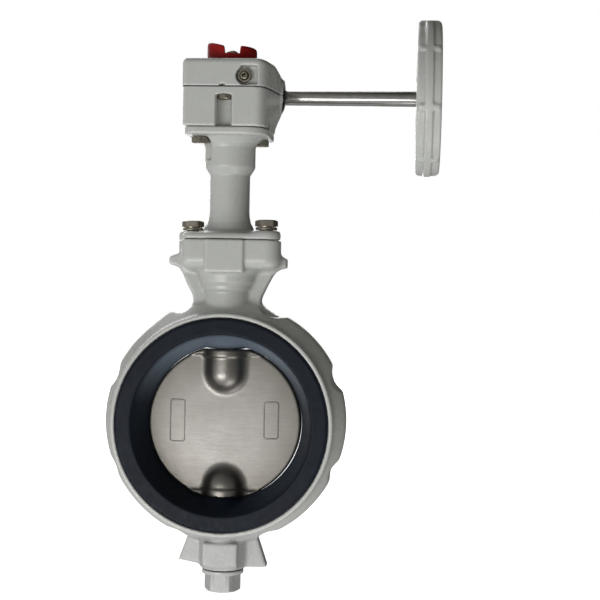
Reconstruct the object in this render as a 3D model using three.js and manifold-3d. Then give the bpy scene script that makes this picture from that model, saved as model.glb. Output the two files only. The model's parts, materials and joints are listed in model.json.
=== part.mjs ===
// A wafer butterfly valve, nominal bore 100 mm, with a neck column and a small worm gear box.
// Millimetres, +Z up along the stem. The origin is the centre of the bore, which runs along Y.
import * as THREE from 'three';
import { mergeVertices } from 'three/addons/utils/BufferGeometryUtils.js';
import Module from 'manifold-3d';

const wasm = await Module();
wasm.setup();

// ---- driving dimensions ----
const GAP = 0.3; // clearance between pieces that touch or run on each other
const RING_SEGMENTS = 48;
const ROUND_SEGMENTS = 20;
const SMALL_SEGMENTS = 12;

const BODY_HALF_WIDTH = 25;
const RING_RADIUS = 71.5;
const LOBE_RADIUS = 79;
const LOBE_HALF_WIDTH = 9;
const FLANGE_BOLT_CIRCLE = 87.5; // radius of the pipe flange bolts that pass the body
const FLANGE_BOLT_CLEARANCE = 12;
const SEAT_BORE = 50.2;
const SEAT_LIP = 58.4;
const SEAT_OUTER = 68.3;
const SEAT_SPOOL = 62.4;
const SEAT_HALF_WIDTH = 26;
const LIP_THICKNESS = 5;
const SEAT_PAD_LEVEL = 48.1;
const SEAT_PAD_RADIUS = 11;

const DISC_RADIUS = 49.85;
const DISC_HALF_THICKNESS = 5;
const DISC_FLAT_LEVEL = 47.7;
const HUB_RADIUS = 13.4;
const UPPER_HUB_END = 19;
const LOWER_HUB_END = -28;

const STEM_RADIUS = 7;
const STEM_FLATS = 10.6;
const BUSH_RADIUS = 9.7;
const BORE_RADIUS = BUSH_RADIUS + GAP;
const GEAR_SEAT_RADIUS = 6.5;
const STEM_TOP_RADIUS = 5;
const STEM_TOP = 236.4;

const JOINT_LEVEL = 118.4; // body top face
const NECK_TOP = 189.8;
const NECK_FLANGE_TOP = 124.8;
const NECK_TUBE = 13.1;
const NECK_COLLAR = 16.4;
const TOP_FLANGE_BOTTOM = 185;
const NECK_BOLT = { x: 26, y: 14 }; // at front right and rear left
const GEAR_BOLT = { x: 18.2, y: 10 }; // at front left and rear right
const LUG_RADIUS = 9.2;
const BOLT_RADIUS = 4; // M8
const BOLT_HEAD = { flats: 13, height: 4.5 };
const GEAR_BOLT_RADIUS = 3.5;
const GEAR_BOLT_HEAD = { flats: 11, height: 4.3 };
const BOSS_BOTTOM = -95;
const WEB_HALF = 5.5;

const HOUSING_BOTTOM = NECK_TOP + GAP;
const WORM_AXIS = { y: 21, z: 214.5 };
const SPLIT = 214.8; // top face of the housing
const GASKET = 0.3;
const COVER_BOTTOM = SPLIT + GASKET + 0.2;
const COVER_TOP = 233.1;
const COVER_BOSS_TOP = 233.9;
const CAVITY_RADIUS = 17.4;
const TUNNEL_RADIUS = 8;
const TUNNEL_WALL = 11.7;
const TUNNEL_LEFT = -31;
const TUNNEL_RIGHT = 32.6;

const MODULE = 1.25;
const TEETH = 24;
const WORM_PITCH_RADIUS = 6;
const LEAD = Math.PI * MODULE;
const TOOTH_WIDTH = 8;
const SHAFT_RADIUS = 5;

const WHEEL_RADIUS = 51;
const WHEEL_CENTRE = 128;
const RIM_WIDTH = 16;

const STOP_SCREW = { across: 11.4, z: 221.8, radius: 2.5, socket: 2.5, nut: 8 };
const COVER_SCREWS = [
  { name: 'front', x: -1.4, y: -23.6, head: 207 },
  { name: 'left', x: -23.6, y: 0, head: 192 },
  { name: 'right', x: 21.6, y: -4, head: 192 },
];
const COVER_SCREW_RADIUS = 2.5;
const CAP = {
  radius: 16.2,
  base: COVER_BOSS_TOP + 0.5,
  floor: 238.2,
  low: 243.3,
  high: 246.9,
  slot: 9.6,
  turn: 8,
};
const SCREW_HEAD = { radius: 3.9, height: 4 };
const BIG = 60; // half size of the blocks that trim or keep part of a solid

const PAINT = 0xacaea8;
const RUBBER = 0x1e2430;
const STEEL = 0xb9b5ae;
const BRONZE = 0xb08d57;
const RED = 0x82100f;

// ---- solids ----
function solid(geometry) {
  const bare = geometry.clone();
  bare.deleteAttribute('normal');
  bare.deleteAttribute('uv');
  const merged = mergeVertices(bare, 1e-4);
  const corners = merged.index.array;
  const kept = [];
  for (let i = 0; i < corners.length; i += 3) {
    const [a, b, c] = corners.slice(i, i + 3);
    if (a !== b && b !== c && c !== a) kept.push(a, b, c);
  }
  const make = (triVerts) => new wasm.Manifold(new wasm.Mesh({
    numProp: 3,
    vertProperties: Float32Array.from(merged.attributes.position.array),
    triVerts: Uint32Array.from(triVerts),
  }));
  const first = make(kept);
  if (first.volume() > 0) return first;
  return make(kept.reverse());
}

function join(...solids) {
  return solids.reduce((sum, next) => sum.add(next));
}

function cut(base, ...tools) {
  return tools.reduce((rest, tool) => rest.subtract(tool), base);
}

function moved(piece, x, y, z) {
  return piece.translate([x, y, z]);
}

function outline(points) {
  return new THREE.Shape(points.map(([x, y]) => new THREE.Vector2(x, y)));
}

function prismZ(shape, z0, z1, curveSegments = 8) {
  const depth = z1 - z0;
  const geometry = new THREE.ExtrudeGeometry(shape, { depth, bevelEnabled: false, curveSegments });
  return solid(geometry.translate(0, 0, z0));
}

// A shape drawn in X and Z, pushed along Y.
function prismY(shape, y0, y1, curveSegments = 8) {
  const depth = y1 - y0;
  const geometry = new THREE.ExtrudeGeometry(shape, { depth, bevelEnabled: false, curveSegments });
  return solid(geometry.translate(0, 0, -y1).rotateX(Math.PI / 2));
}

function box(x0, x1, y0, y1, z0, z1) {
  const geometry = new THREE.BoxGeometry(x1 - x0, y1 - y0, z1 - z0);
  return solid(geometry.translate((x0 + x1) / 2, (y0 + y1) / 2, (z0 + z1) / 2));
}

// A profile of [radius, height] points turned about Z. It starts and ends on the axis or closes.
function turned(profile, segments = ROUND_SEGMENTS) {
  const points = profile.map(([r, h]) => new THREE.Vector2(r, h));
  return solid(new THREE.LatheGeometry(points, segments).rotateX(Math.PI / 2));
}

function rod(radius, z0, z1, segments = ROUND_SEGMENTS) {
  return turned([[0, z0], [radius, z0], [radius, z1], [0, z1]], segments);
}

function tube(inner, outer, z0, z1, segments = ROUND_SEGMENTS) {
  return turned([[inner, z0], [outer, z0], [outer, z1], [inner, z1], [inner, z0]], segments);
}

// Turns a solid that stands along Z so that it lies along X, its height becoming X.
function alongX(piece) {
  return piece.rotate([0, 90, 0]);
}

function alongY(piece) {
  return piece.rotate([-90, 0, 0]);
}

function wormRod(radius, x0, x1, segments = ROUND_SEGMENTS) {
  return moved(alongX(rod(radius, x0, x1, segments)), 0, WORM_AXIS.y, WORM_AXIS.z);
}

function wormTube(inner, outer, x0, x1) {
  return moved(alongX(tube(inner, outer, x0, x1)), 0, WORM_AXIS.y, WORM_AXIS.z);
}

function hexagon(flats, turn = 0) {
  const radius = flats / Math.sqrt(3);
  const corners = [];
  for (let i = 0; i < 6; i += 1) {
    const angle = turn + i * Math.PI / 3;
    corners.push([radius * Math.cos(angle), radius * Math.sin(angle)]);
  }
  return outline(corners);
}

// A rounded rectangle, with its own radius at each corner, counted from the lower left.
function roundedBox(x0, x1, y0, y1, [lowLeft, lowRight, highRight, highLeft]) {
  const shape = new THREE.Shape();
  shape.moveTo(x0 + lowLeft, y0);
  shape.lineTo(x1 - lowRight, y0);
  shape.absarc(x1 - lowRight, y0 + lowRight, lowRight, -Math.PI / 2, 0);
  shape.lineTo(x1, y1 - highRight);
  shape.absarc(x1 - highRight, y1 - highRight, highRight, 0, Math.PI / 2);
  shape.lineTo(x0 + highLeft, y1);
  shape.absarc(x0 + highLeft, y1 - highLeft, highLeft, Math.PI / 2, Math.PI);
  shape.lineTo(x0, y0 + lowLeft);
  shape.absarc(x0 + lowLeft, y0 + lowLeft, lowLeft, Math.PI, 1.5 * Math.PI);
  return shape;
}

// The two-bolt flange outline: a round middle with a lug at front right and one at rear left.
function lugOutline(middle, z0, z1) {
  const lug = rod(LUG_RADIUS, z0, z1, SMALL_SEGMENTS);
  const right = moved(lug, NECK_BOLT.x, -NECK_BOLT.y, 0);
  const left = moved(lug, -NECK_BOLT.x, NECK_BOLT.y, 0);
  const reach = Math.hypot(NECK_BOLT.x, NECK_BOLT.y);
  const tilt = Math.atan2(-NECK_BOLT.y, NECK_BOLT.x) * 180 / Math.PI;
  const bar = outline([[0, -middle], [reach + 1, -LUG_RADIUS], [reach + 1, LUG_RADIUS], [0, middle],
    [-reach - 1, LUG_RADIUS], [-reach - 1, -LUG_RADIUS]]);
  const plate = prismZ(bar, z0, z1).rotate([0, 0, tilt]);
  const keep = box(-NECK_BOLT.x - LUG_RADIUS, NECK_BOLT.x + LUG_RADIUS,
    -NECK_BOLT.y - LUG_RADIUS, NECK_BOLT.y + LUG_RADIUS, z0, z1);
  return join(rod(middle, z0, z1), plate.intersect(keep), right, left);
}

// ---- body ----
function bodyRing() {
  const recess = SEAT_OUTER + GAP;
  const spool = SEAT_SPOOL + GAP;
  const shoulder = SEAT_HALF_WIDTH - LIP_THICKNESS - GAP;
  const flank = 19;
  const profile = [
    [recess, -BODY_HALF_WIDTH], [RING_RADIUS, -BODY_HALF_WIDTH], [RING_RADIUS, -flank],
    [LOBE_RADIUS - 1, -LOBE_HALF_WIDTH], [LOBE_RADIUS, -LOBE_HALF_WIDTH + 2],
    [LOBE_RADIUS, LOBE_HALF_WIDTH - 2], [LOBE_RADIUS - 1, LOBE_HALF_WIDTH],
    [RING_RADIUS, flank], [RING_RADIUS, BODY_HALF_WIDTH], [recess, BODY_HALF_WIDTH],
    [recess, shoulder], [spool, shoulder], [spool, -shoulder], [recess, -shoulder],
    [recess, -BODY_HALF_WIDTH],
  ];
  let ring = alongY(turned(profile, RING_SEGMENTS));
  const scallop = alongY(rod(FLANGE_BOLT_CLEARANCE, -flank, flank));
  for (let i = 0; i < 8; i += 1) {
    const angle = (i + 0.5) * Math.PI / 4;
    const x = FLANGE_BOLT_CIRCLE * Math.cos(angle);
    const z = FLANGE_BOLT_CIRCLE * Math.sin(angle);
    ring = ring.subtract(moved(scallop, x, 0, z));
  }
  return ring;
}

function bodyNeck() {
  const web = outline([[-27, 66], [-22, 78], [-22.8, 83], [-31, 98], [-34.6, 101.2], [-38.4, 102.2],
    [-38.4, 107], [-30, 113], [30, 112], [38.6, 107], [38.6, 100.6], [31, 96.6], [22.6, 83], [22.2, 78],
    [28, 66]]);
  const barrel = turned([[0, 64], [16, 64], [15, 80], [15, 87.5], [16.6, 89], [17, 92], [18.6, 94.6],
    [18.8, 98], [23, 101], [0, 101]]);
  const front = prismZ(roundedBox(-27.6, 35.2, -26.5, 0, [6, 9, 1, 1]), 102, JOINT_LEVEL);
  const block = join(lugOutline(25, 102, JOINT_LEVEL), front);
  const pad = box(-11.8, 13, -28.2, 0, 98.5, JOINT_LEVEL);
  return join(prismY(web, -WEB_HALF, WEB_HALF), barrel, block, pad);
}

function bodyFoot() {
  const boss = rod(15, BOSS_BOTTOM, -66);
  const pad = box(-11.4, 11, -15.8, 0, BOSS_BOTTOM, -77);
  const wings = outline([[-20, -68], [-28.8, -91.6], [-15, BOSS_BOTTOM + 1], [15, BOSS_BOTTOM + 1.5],
    [29.2, -92.6], [20, -68]]);
  return join(boss, pad, prismY(wings, -4.5, 4.5));
}

function body() {
  const bore = alongY(rod(SEAT_SPOOL + GAP, -BODY_HALF_WIDTH - 9, BODY_HALF_WIDTH + 9, RING_SEGMENTS));
  const faces = alongY(join(rod(SEAT_OUTER + GAP, -30, -SEAT_HALF_WIDTH + LIP_THICKNESS + GAP,
    RING_SEGMENTS), rod(SEAT_OUTER + GAP, SEAT_HALF_WIDTH - LIP_THICKNESS - GAP, 30, RING_SEGMENTS)));
  const whole = cut(join(bodyNeck(), bodyFoot()), bore, faces).add(bodyRing());
  const stemBore = rod(BORE_RADIUS, 50, JOINT_LEVEL + 1);
  const footBore = join(rod(BORE_RADIUS, -88, -50), rod(11.5, BOSS_BOTTOM - 1, -86));
  const tapped = rod(BOLT_RADIUS + GAP, 103, JOINT_LEVEL + 1, SMALL_SEGMENTS);
  return cut(whole, stemBore, footBore, moved(tapped, NECK_BOLT.x, -NECK_BOLT.y, 0),
    moved(tapped, -NECK_BOLT.x, NECK_BOLT.y, 0));
}

// ---- seat, disc and stems ----
function seatRing() {
  const lip = SEAT_HALF_WIDTH - LIP_THICKNESS;
  const profile = [
    [SEAT_LIP, -SEAT_HALF_WIDTH], [SEAT_OUTER, -SEAT_HALF_WIDTH], [SEAT_OUTER, -lip],
    [SEAT_SPOOL, -lip], [SEAT_SPOOL, lip], [SEAT_OUTER, lip], [SEAT_OUTER, SEAT_HALF_WIDTH],
    [SEAT_LIP, SEAT_HALF_WIDTH], [56.6, 23], [52.6, 11], [50.8, 5], [SEAT_BORE, 1.5],
    [SEAT_BORE, -1.5], [50.8, -5], [52.6, -11], [56.6, -23], [SEAT_LIP, -SEAT_HALF_WIDTH],
  ];
  const spool = alongY(turned(profile, RING_SEGMENTS));
  const within = alongY(rod(SEAT_SPOOL - 2, -17, 17, RING_SEGMENTS));
  const upperPad = turned([[0, SEAT_PAD_LEVEL], [SEAT_PAD_RADIUS, SEAT_PAD_LEVEL],
    [SEAT_PAD_RADIUS + 6, SEAT_PAD_LEVEL + 6], [SEAT_PAD_RADIUS + 6, 60], [0, 60]]);
  const pad = join(upperPad, upperPad.rotate([180, 0, 0]));
  const stemHole = rod(STEM_RADIUS + GAP, -70, 70);
  return cut(join(spool, pad.intersect(within)), stemHole);
}

function disc() {
  const half = DISC_HALF_THICKNESS;
  const profile = [[0, -half - 0.6], [49.1, -half + 0.2], [DISC_RADIUS, -half + 1.2],
    [DISC_RADIUS, half - 1.2], [49.1, half - 0.2], [0, half + 0.6]];
  const plate = alongY(turned(profile, RING_SEGMENTS));
  const dome = (end, side) => {
    const centre = end + side * HUB_RADIUS;
    const ball = solid(new THREE.SphereGeometry(HUB_RADIUS, ROUND_SEGMENTS, 10).rotateX(Math.PI / 2));
    const low = Math.min(centre, side * 50);
    const high = Math.max(centre, side * 50);
    return join(moved(ball, 0, 0, centre), rod(HUB_RADIUS, low, high));
  };
  const frame = (x0, x1) => box(x0, x1, -half - 0.9, half + 0.9, -13, 13.6)
    .subtract(box(x0 + 0.7, x1 - 0.7, -10, 10, -12.3, 12.9)
      .add(box(x0 - 1, x1 + 1, -half + 2, half - 2, -14, 15)));
  const keep = box(-BIG, BIG, -20, 20, -DISC_FLAT_LEVEL, DISC_FLAT_LEVEL);
  const socket = (z0, z1) => rod(STEM_RADIUS + GAP, z0, z1)
    .intersect(box(-10, 10, -STEM_FLATS / 2 - GAP, STEM_FLATS / 2 + GAP, z0, z1));
  const whole = join(plate, dome(UPPER_HUB_END, 1), dome(LOWER_HUB_END, -1),
    frame(-35.8, -26), frame(25.4, 35.2)).intersect(keep);
  return cut(whole, socket(24 - GAP, 60), rod(STEM_RADIUS + GAP, -60, -33 + GAP));
}

function upperStem() {
  const shank = turned([[0, 24], [6.2, 24], [STEM_RADIUS, 25], [STEM_RADIUS, 205],
    [GEAR_SEAT_RADIUS, 205], [GEAR_SEAT_RADIUS, 223], [STEM_TOP_RADIUS, 223],
    [STEM_TOP_RADIUS, STEM_TOP], [0, STEM_TOP]]);
  const flats = join(box(-10, 10, -10, -STEM_FLATS / 2, 20, 48), box(-10, 10, STEM_FLATS / 2, 10, 20, 48));
  const keyway = box(GEAR_SEAT_RADIUS - 2, 10, -2, 2, 207, 221);
  return cut(shank, flats, keyway, rod(2.3, 227, STEM_TOP + 1, SMALL_SEGMENTS));
}

function lowerStem() {
  return turned([[0, -92.5], [6, -92.5], [STEM_RADIUS, -91.5], [STEM_RADIUS, -34], [6.2, -33], [0, -33]]);
}

function stemRing(z) {
  const radius = (BUSH_RADIUS - STEM_RADIUS - GAP) / 2;
  const centre = STEM_RADIUS + GAP + radius;
  const profile = [];
  for (let i = 0; i <= 6; i += 1) {
    const angle = i * Math.PI / 3;
    profile.push([centre + radius * Math.cos(angle), z + radius * Math.sin(angle)]);
  }
  return turned(profile, SMALL_SEGMENTS);
}

function bush(z0, z1) {
  return tube(STEM_RADIUS + GAP, BUSH_RADIUS, z0, z1);
}

// ---- bottom closure ----
function bottomCap() {
  const turnToFront = (-90 + 20) * Math.PI / 180;
  const hex = prismZ(hexagon(21, turnToFront), -110, -97);
  const blank = turned([[0, -110], [10.6, -110], [13.6, -108], [13.6, -95.9], [11.1, -95.9],
    [11.1, -94], [0, -94]]);
  const collar = rod(13.6, -98.6, -90);
  return join(hex, collar).intersect(blank);
}

function capGasket() {
  return tube(11.5, 13.4, -95.7, -95.2);
}

// ---- neck column ----
function neckColumn() {
  const post = turned([[0, 119], [18.5, 119], [18.5, NECK_FLANGE_TOP], [15.6, 127], [14, 130],
    [NECK_TUBE, 134], [NECK_TUBE, 160.4], [NECK_COLLAR, 165.6], [NECK_COLLAR, 178.5],
    [18, 181.5], [22, TOP_FLANGE_BOTTOM], [22, 188], [0, 188]]);
  const half = 27;
  const top = prismZ(roundedBox(-half, half, -half, half, [7, 15, 7, 15]), TOP_FLANGE_BOTTOM, NECK_TOP, 5);
  const bottom = lugOutline(24.5, JOINT_LEVEL + GAP, NECK_FLANGE_TOP);
  const hole = rod(BOLT_RADIUS + GAP, 100, 150, SMALL_SEGMENTS);
  const gearHole = rod(GEAR_BOLT_RADIUS + GAP, 150, 200, SMALL_SEGMENTS);
  const below = rod(BOLT_HEAD.flats / 2 + 2, NECK_FLANGE_TOP, 150, SMALL_SEGMENTS);
  const above = rod(GEAR_BOLT_HEAD.flats / 2 + 2.2, 170, TOP_FLANGE_BOTTOM, SMALL_SEGMENTS);
  let column = cut(join(post, bottom), moved(below, NECK_BOLT.x, -NECK_BOLT.y, 0),
    moved(below, -NECK_BOLT.x, NECK_BOLT.y, 0), moved(above, -GEAR_BOLT.x, -GEAR_BOLT.y, 0),
    moved(above, GEAR_BOLT.x, GEAR_BOLT.y, 0));
  column = column.add(top);
  return cut(column, rod(BORE_RADIUS, 100, 200), moved(hole, NECK_BOLT.x, -NECK_BOLT.y, 0),
    moved(hole, -NECK_BOLT.x, NECK_BOLT.y, 0), moved(gearHole, -GEAR_BOLT.x, -GEAR_BOLT.y, 0),
    moved(gearHole, GEAR_BOLT.x, GEAR_BOLT.y, 0));
}

// A hexagon bolt with its head at the top, its seat at level 0 and its shank below.
function hexBolt({ flats, height }, radius, length, turn) {
  const head = prismZ(hexagon(flats, turn), 0, height);
  const corner = flats * 0.62;
  const dome = turned([[0, -1], [corner, -1], [corner, height - 1], [flats * 0.47, height], [0, height]], 18);
  const shank = turned([[0, -length], [radius - 1, -length], [radius, -length + 1], [radius, 0.5],
    [0, 0.5]], SMALL_SEGMENTS);
  return join(head.intersect(dome), shank);
}

function springWasher() {
  const ring = tube(BOLT_RADIUS + GAP, 7, 0, 2, 16);
  return ring.subtract(box(0, 10, -0.5, 0.5, -1, 3));
}

// ---- gear box ----
// The gear box seen from above: flat in front and at left, slanting out to the worm at rear right.
function boxOutline(grow) {
  const left = -28 - grow;
  const right = 31 + grow;
  const front = -28 - grow;
  const rear = 32.5 + grow;
  const shape = new THREE.Shape();
  shape.moveTo(left + 1.5, front);
  shape.lineTo(18, front);
  shape.bezierCurveTo(24, front, 25.5 + grow, -22, 27 + grow, -14);
  shape.bezierCurveTo(28.5 + grow, -6, right, 2, right, 12);
  shape.lineTo(right, rear - 4);
  shape.absarc(right - 4, rear - 4, 4, 0, Math.PI / 2);
  shape.lineTo(left + 4, rear);
  shape.absarc(left + 4, rear - 4, 4, Math.PI / 2, Math.PI);
  shape.lineTo(left, front + 1.5);
  shape.lineTo(left + 1.5, front);
  return shape;
}

// The holes that the cover's screws pass through.
function screwHoles(z0, z1) {
  const hole = rod(COVER_SCREW_RADIUS + GAP, z0, z1, SMALL_SEGMENTS);
  return COVER_SCREWS.map(({ x, y }) => moved(hole, x, y, 0));
}

function tunnelCutters() {
  const shaftHole = wormRod(SHAFT_RADIUS + 0.6, TUNNEL_LEFT - 2, TUNNEL_RIGHT + 3);
  const tunnel = wormRod(TUNNEL_RADIUS, -23.5, 23.5);
  const sealPocket = wormRod(8.6, 28, TUNNEL_RIGHT + 3);
  const plugPocket = wormRod(8.6, TUNNEL_LEFT - 3, -27.5);
  return [shaftHole, tunnel, sealPocket, plugPocket];
}

function gearHousing() {
  const wall = prismZ(boxOutline(0), HOUSING_BOTTOM, SPLIT, 4);
  const chamfer = outline([[22, 180], [45, 180], [45, 214], [30, 205], [26.2, HOUSING_BOTTOM + 3],
    [25, HOUSING_BOTTOM - 0.5], [22, HOUSING_BOTTOM - 0.5]]);
  const tunnel = wormRod(TUNNEL_WALL, TUNNEL_LEFT, TUNNEL_RIGHT)
    .intersect(box(-BIG, BIG, -BIG, BIG, HOUSING_BOTTOM, SPLIT));
  const under = prismY(chamfer, -40, 40).subtract(box(-BIG, BIG, -BIG, BIG, 214.5, 260));
  const cavity = rod(CAVITY_RADIUS, 206, SPLIT + 1, 28);
  const stemHole = rod(STEM_RADIUS + GAP, 180, 210);
  const bolt = rod(GEAR_BOLT_RADIUS + GAP, 180, 203, SMALL_SEGMENTS);
  const pocket = moved(rod(5.4, 180, 209.8), COVER_SCREWS[0].x, -28, 0);
  const heads = COVER_SCREWS.map(({ x, y, head }) => moved(rod(4.6, 180, head + 3 + GAP, SMALL_SEGMENTS),
    x, y, 0));
  return cut(join(wall.subtract(under), tunnel), cavity, stemHole, pocket, ...heads, ...screwHoles(180, 230),
    moved(bolt, -GEAR_BOLT.x, -GEAR_BOLT.y, 0), moved(bolt, GEAR_BOLT.x, GEAR_BOLT.y, 0),
    ...tunnelCutters());
}

function coverShell() {
  const lower = prismZ(boxOutline(0), COVER_BOTTOM, COVER_TOP, 4);
  const slopeRight = outline([[45, 216], [33.4, 222], [28.4, 231.6], [26.4, COVER_TOP + 0.1],
    [26.4, 245], [45, 245]]);
  const slopeLeft = outline([[-40, 226], [-28.2, 229], [-26.9, 231.8], [-24, COVER_TOP + 0.1],
    [-24, 245], [-40, 245]]);
  const frontEdge = slopeLeft;
  const frontCut = prismY(frontEdge, -50, 50).rotate([0, 0, 90]);
  const rearCut = prismY(outline([[27, 245], [27, COVER_TOP + 0.1], [32.7, 228], [45, 222], [45, 245]]),
    -50, 50).rotate([0, 0, 90]);
  const tunnel = wormRod(TUNNEL_WALL, TUNNEL_LEFT, TUNNEL_RIGHT)
    .intersect(box(-BIG, BIG, -BIG, BIG, COVER_BOTTOM, 260));
  const shell = cut(lower, prismY(slopeRight, -50, 50), prismY(slopeLeft, -50, 50), frontCut, rearCut);
  return join(shell, tunnel, rod(17.4, 230, COVER_BOSS_TOP));
}

function gearCover() {
  const cavity = rod(CAVITY_RADIUS, 210, 224.5, 28);
  const stemHole = rod(8.6, 222, 240);
  const recess = box(5.2, 19.8, -40, -23.2, 215.8, 228.4);
  const stopBore = rod(STOP_SCREW.radius + 0.4, -36, -10, SMALL_SEGMENTS);
  const stopHole = moved(alongY(stopBore), STOP_SCREW.across, 0, STOP_SCREW.z);
  const leftRecess = box(-40, -23.2, -18, -5, 215.8, 228.4);
  const leftHole = moved(alongX(stopBore), 0, -STOP_SCREW.across, STOP_SCREW.z);
  return cut(coverShell(), cavity, stemHole, recess, stopHole, leftRecess, leftHole, ...screwHoles(210, 222),
    ...tunnelCutters());
}

function coverGasket() {
  const whole = prismZ(boxOutline(-0.3), SPLIT + 0.1, SPLIT + 0.1 + GASKET, 4);
  return cut(whole, rod(CAVITY_RADIUS + 1, 210, 220, 28), box(-BIG, BIG, WORM_AXIS.y - 9.2, BIG, 210, 220),
    ...screwHoles(210, 222));
}

function coverScrew({ x, y, head }) {
  const top = head < 200 ? 221 : 221.5;
  const shank = rod(COVER_SCREW_RADIUS, head, top, SMALL_SEGMENTS);
  const screw = join(shank, rod(4.2, head, head + 3, SMALL_SEGMENTS));
  const socket = prismZ(hexagon(4), head - 1, head + 2);
  return moved(screw.subtract(socket), x, y, 0);
}

function stopScrew() {
  const screw = rod(STOP_SCREW.radius, -29, -15, SMALL_SEGMENTS);
  return screw.subtract(prismZ(hexagon(STOP_SCREW.socket), -30, -26));
}

function lockNut() {
  const thread = rod(STOP_SCREW.radius + GAP, -30, -20, SMALL_SEGMENTS);
  return prismZ(hexagon(STOP_SCREW.nut, Math.PI / 6), -27.2, -23.5).subtract(thread);
}

function atFront(piece) {
  return moved(alongY(piece), STOP_SCREW.across, 0, STOP_SCREW.z);
}

function atLeft(piece) {
  return moved(alongX(piece), 0, -STOP_SCREW.across, STOP_SCREW.z);
}

// ---- worm gear ----
function wormWheel() {
  const pitchRadius = MODULE * TEETH / 2;
  const tip = pitchRadius + MODULE;
  const root = pitchRadius - 1.25 * MODULE;
  const pitch = 2 * Math.PI / TEETH;
  const points = [];
  for (let i = 0; i < TEETH; i += 1) {
    const middle = Math.PI / 2 + (i + 0.5) * pitch;
    const corner = (radius, share) => points.push([radius * Math.cos(middle + share * pitch),
      radius * Math.sin(middle + share * pitch)]);
    corner(root, -0.33);
    corner(tip, -0.11);
    corner(tip, 0.11);
    corner(root, 0.33);
  }
  const depth = TOOTH_WIDTH;
  const geometry = new THREE.ExtrudeGeometry(outline(points), { depth, steps: 2, bevelEnabled: false });
  geometry.translate(0, 0, -depth / 2);
  const place = geometry.attributes.position;
  const twist = LEAD / (2 * Math.PI * WORM_PITCH_RADIUS) / pitchRadius;
  for (let i = 0; i < place.count; i += 1) {
    const angle = twist * place.getZ(i);
    const x = place.getX(i);
    const y = place.getY(i);
    place.setXY(i, x * Math.cos(angle) - y * Math.sin(angle), x * Math.sin(angle) + y * Math.cos(angle));
  }
  const rim = moved(solid(geometry), 0, 0, WORM_AXIS.z);
  const hub = rod(11, 207, 222);
  const bore = rod(GEAR_SEAT_RADIUS + GAP, 200, 230);
  return cut(join(rim, hub), bore, box(0, GEAR_SEAT_RADIUS + 2 + GAP, -2 - GAP, 2 + GAP, 200, 230));
}

function gearKey() {
  return box(GEAR_SEAT_RADIUS - 2 + GAP, GEAR_SEAT_RADIUS + 2, -2 + 0.1, 2 - 0.1, 207.5, 220.5);
}

function wormThread() {
  const steps = 12;
  const turns = 4;
  const root = WORM_PITCH_RADIUS - 1.3 * MODULE;
  const tip = WORM_PITCH_RADIUS + 0.95 * MODULE;
  const section = [[root - 0.6, -1.15], [tip, -0.42], [tip, 0.42], [root - 0.6, 1.15]];
  const places = [];
  const faces = [];
  for (let i = 0; i <= steps * turns; i += 1) {
    const around = i / steps - turns / 2;
    const angle = Math.PI + 2 * Math.PI * around;
    const middle = LEAD * around;
    section.forEach(([radius, along]) => {
      places.push(middle + along, radius * Math.cos(angle), radius * Math.sin(angle));
    });
  }
  const corner = (i, j) => 4 * i + j % 4;
  for (let i = 0; i < steps * turns; i += 1) {
    for (let j = 0; j < 4; j += 1) {
      faces.push(corner(i, j), corner(i + 1, j), corner(i + 1, j + 1));
      faces.push(corner(i, j), corner(i + 1, j + 1), corner(i, j + 1));
    }
  }
  const last = steps * turns;
  faces.push(0, 1, 2, 0, 2, 3);
  faces.push(corner(last, 0), corner(last, 2), corner(last, 1), corner(last, 0), corner(last, 3),
    corner(last, 2));
  const geometry = new THREE.BufferGeometry();
  geometry.setAttribute('position', new THREE.Float32BufferAttribute(places, 3));
  geometry.setIndex(faces);
  return geometry;
}

function wormShaft() {
  const root = WORM_PITCH_RADIUS - 1.3 * MODULE;
  const end = WHEEL_CENTRE + 6.5;
  const shank = alongX(turned([[0, -27], [4.4, -27], [SHAFT_RADIUS, -26.4], [SHAFT_RADIUS, -14],
    [root, -12.5], [root, 12.5], [SHAFT_RADIUS, 14], [SHAFT_RADIUS, end - 1], [4.2, end], [0, end]]));
  const shaft = moved(join(shank, solid(wormThread())), 0, WORM_AXIS.y, WORM_AXIS.z);
  return shaft.subtract(moved(rod(2 + GAP, -20, 20, SMALL_SEGMENTS), WHEEL_CENTRE - 4, WORM_AXIS.y,
    WORM_AXIS.z));
}

function wormBush(x0, x1) {
  return wormTube(SHAFT_RADIUS + GAP, TUNNEL_RADIUS - 0.2, x0, x1);
}

// ---- handwheel and indicator ----
function handwheel() {
  const half = RIM_WIDTH / 2;
  const rim = turned([[40.5, -half + 4], [43.5, -half], [48, -half], [WHEEL_RADIUS, -half + 4],
    [WHEEL_RADIUS, half - 4], [48, half], [43.5, half], [40.5, half - 4], [40.5, -half + 4]], 40);
  const hub = turned([[0, -half], [11, -half], [12, -half + 1], [12, half - 1], [11, half], [0, half]]);
  let wheel = join(rim, hub);
  for (let i = 0; i < 3; i += 1) {
    const spoke = prismZ(outline([[9, -7], [43, -5], [43, 5], [9, 7]]), -3.5, 3.5);
    wheel = wheel.add(spoke.rotate([0, 0, 90 + 120 * i]));
  }
  const bore = rod(SHAFT_RADIUS + GAP, -20, 20);
  const pinHole = alongY(rod(2 + GAP, -14, 14, SMALL_SEGMENTS));
  wheel = wheel.subtract(bore).subtract(moved(pinHole.rotate([0, 0, 90]), 0, 0, -4));
  return moved(alongX(wheel), WHEEL_CENTRE, WORM_AXIS.y, WORM_AXIS.z);
}

function wheelPin() {
  return moved(rod(2, -11.6, 11.6, SMALL_SEGMENTS), WHEEL_CENTRE - 4, WORM_AXIS.y, WORM_AXIS.z);
}

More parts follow.
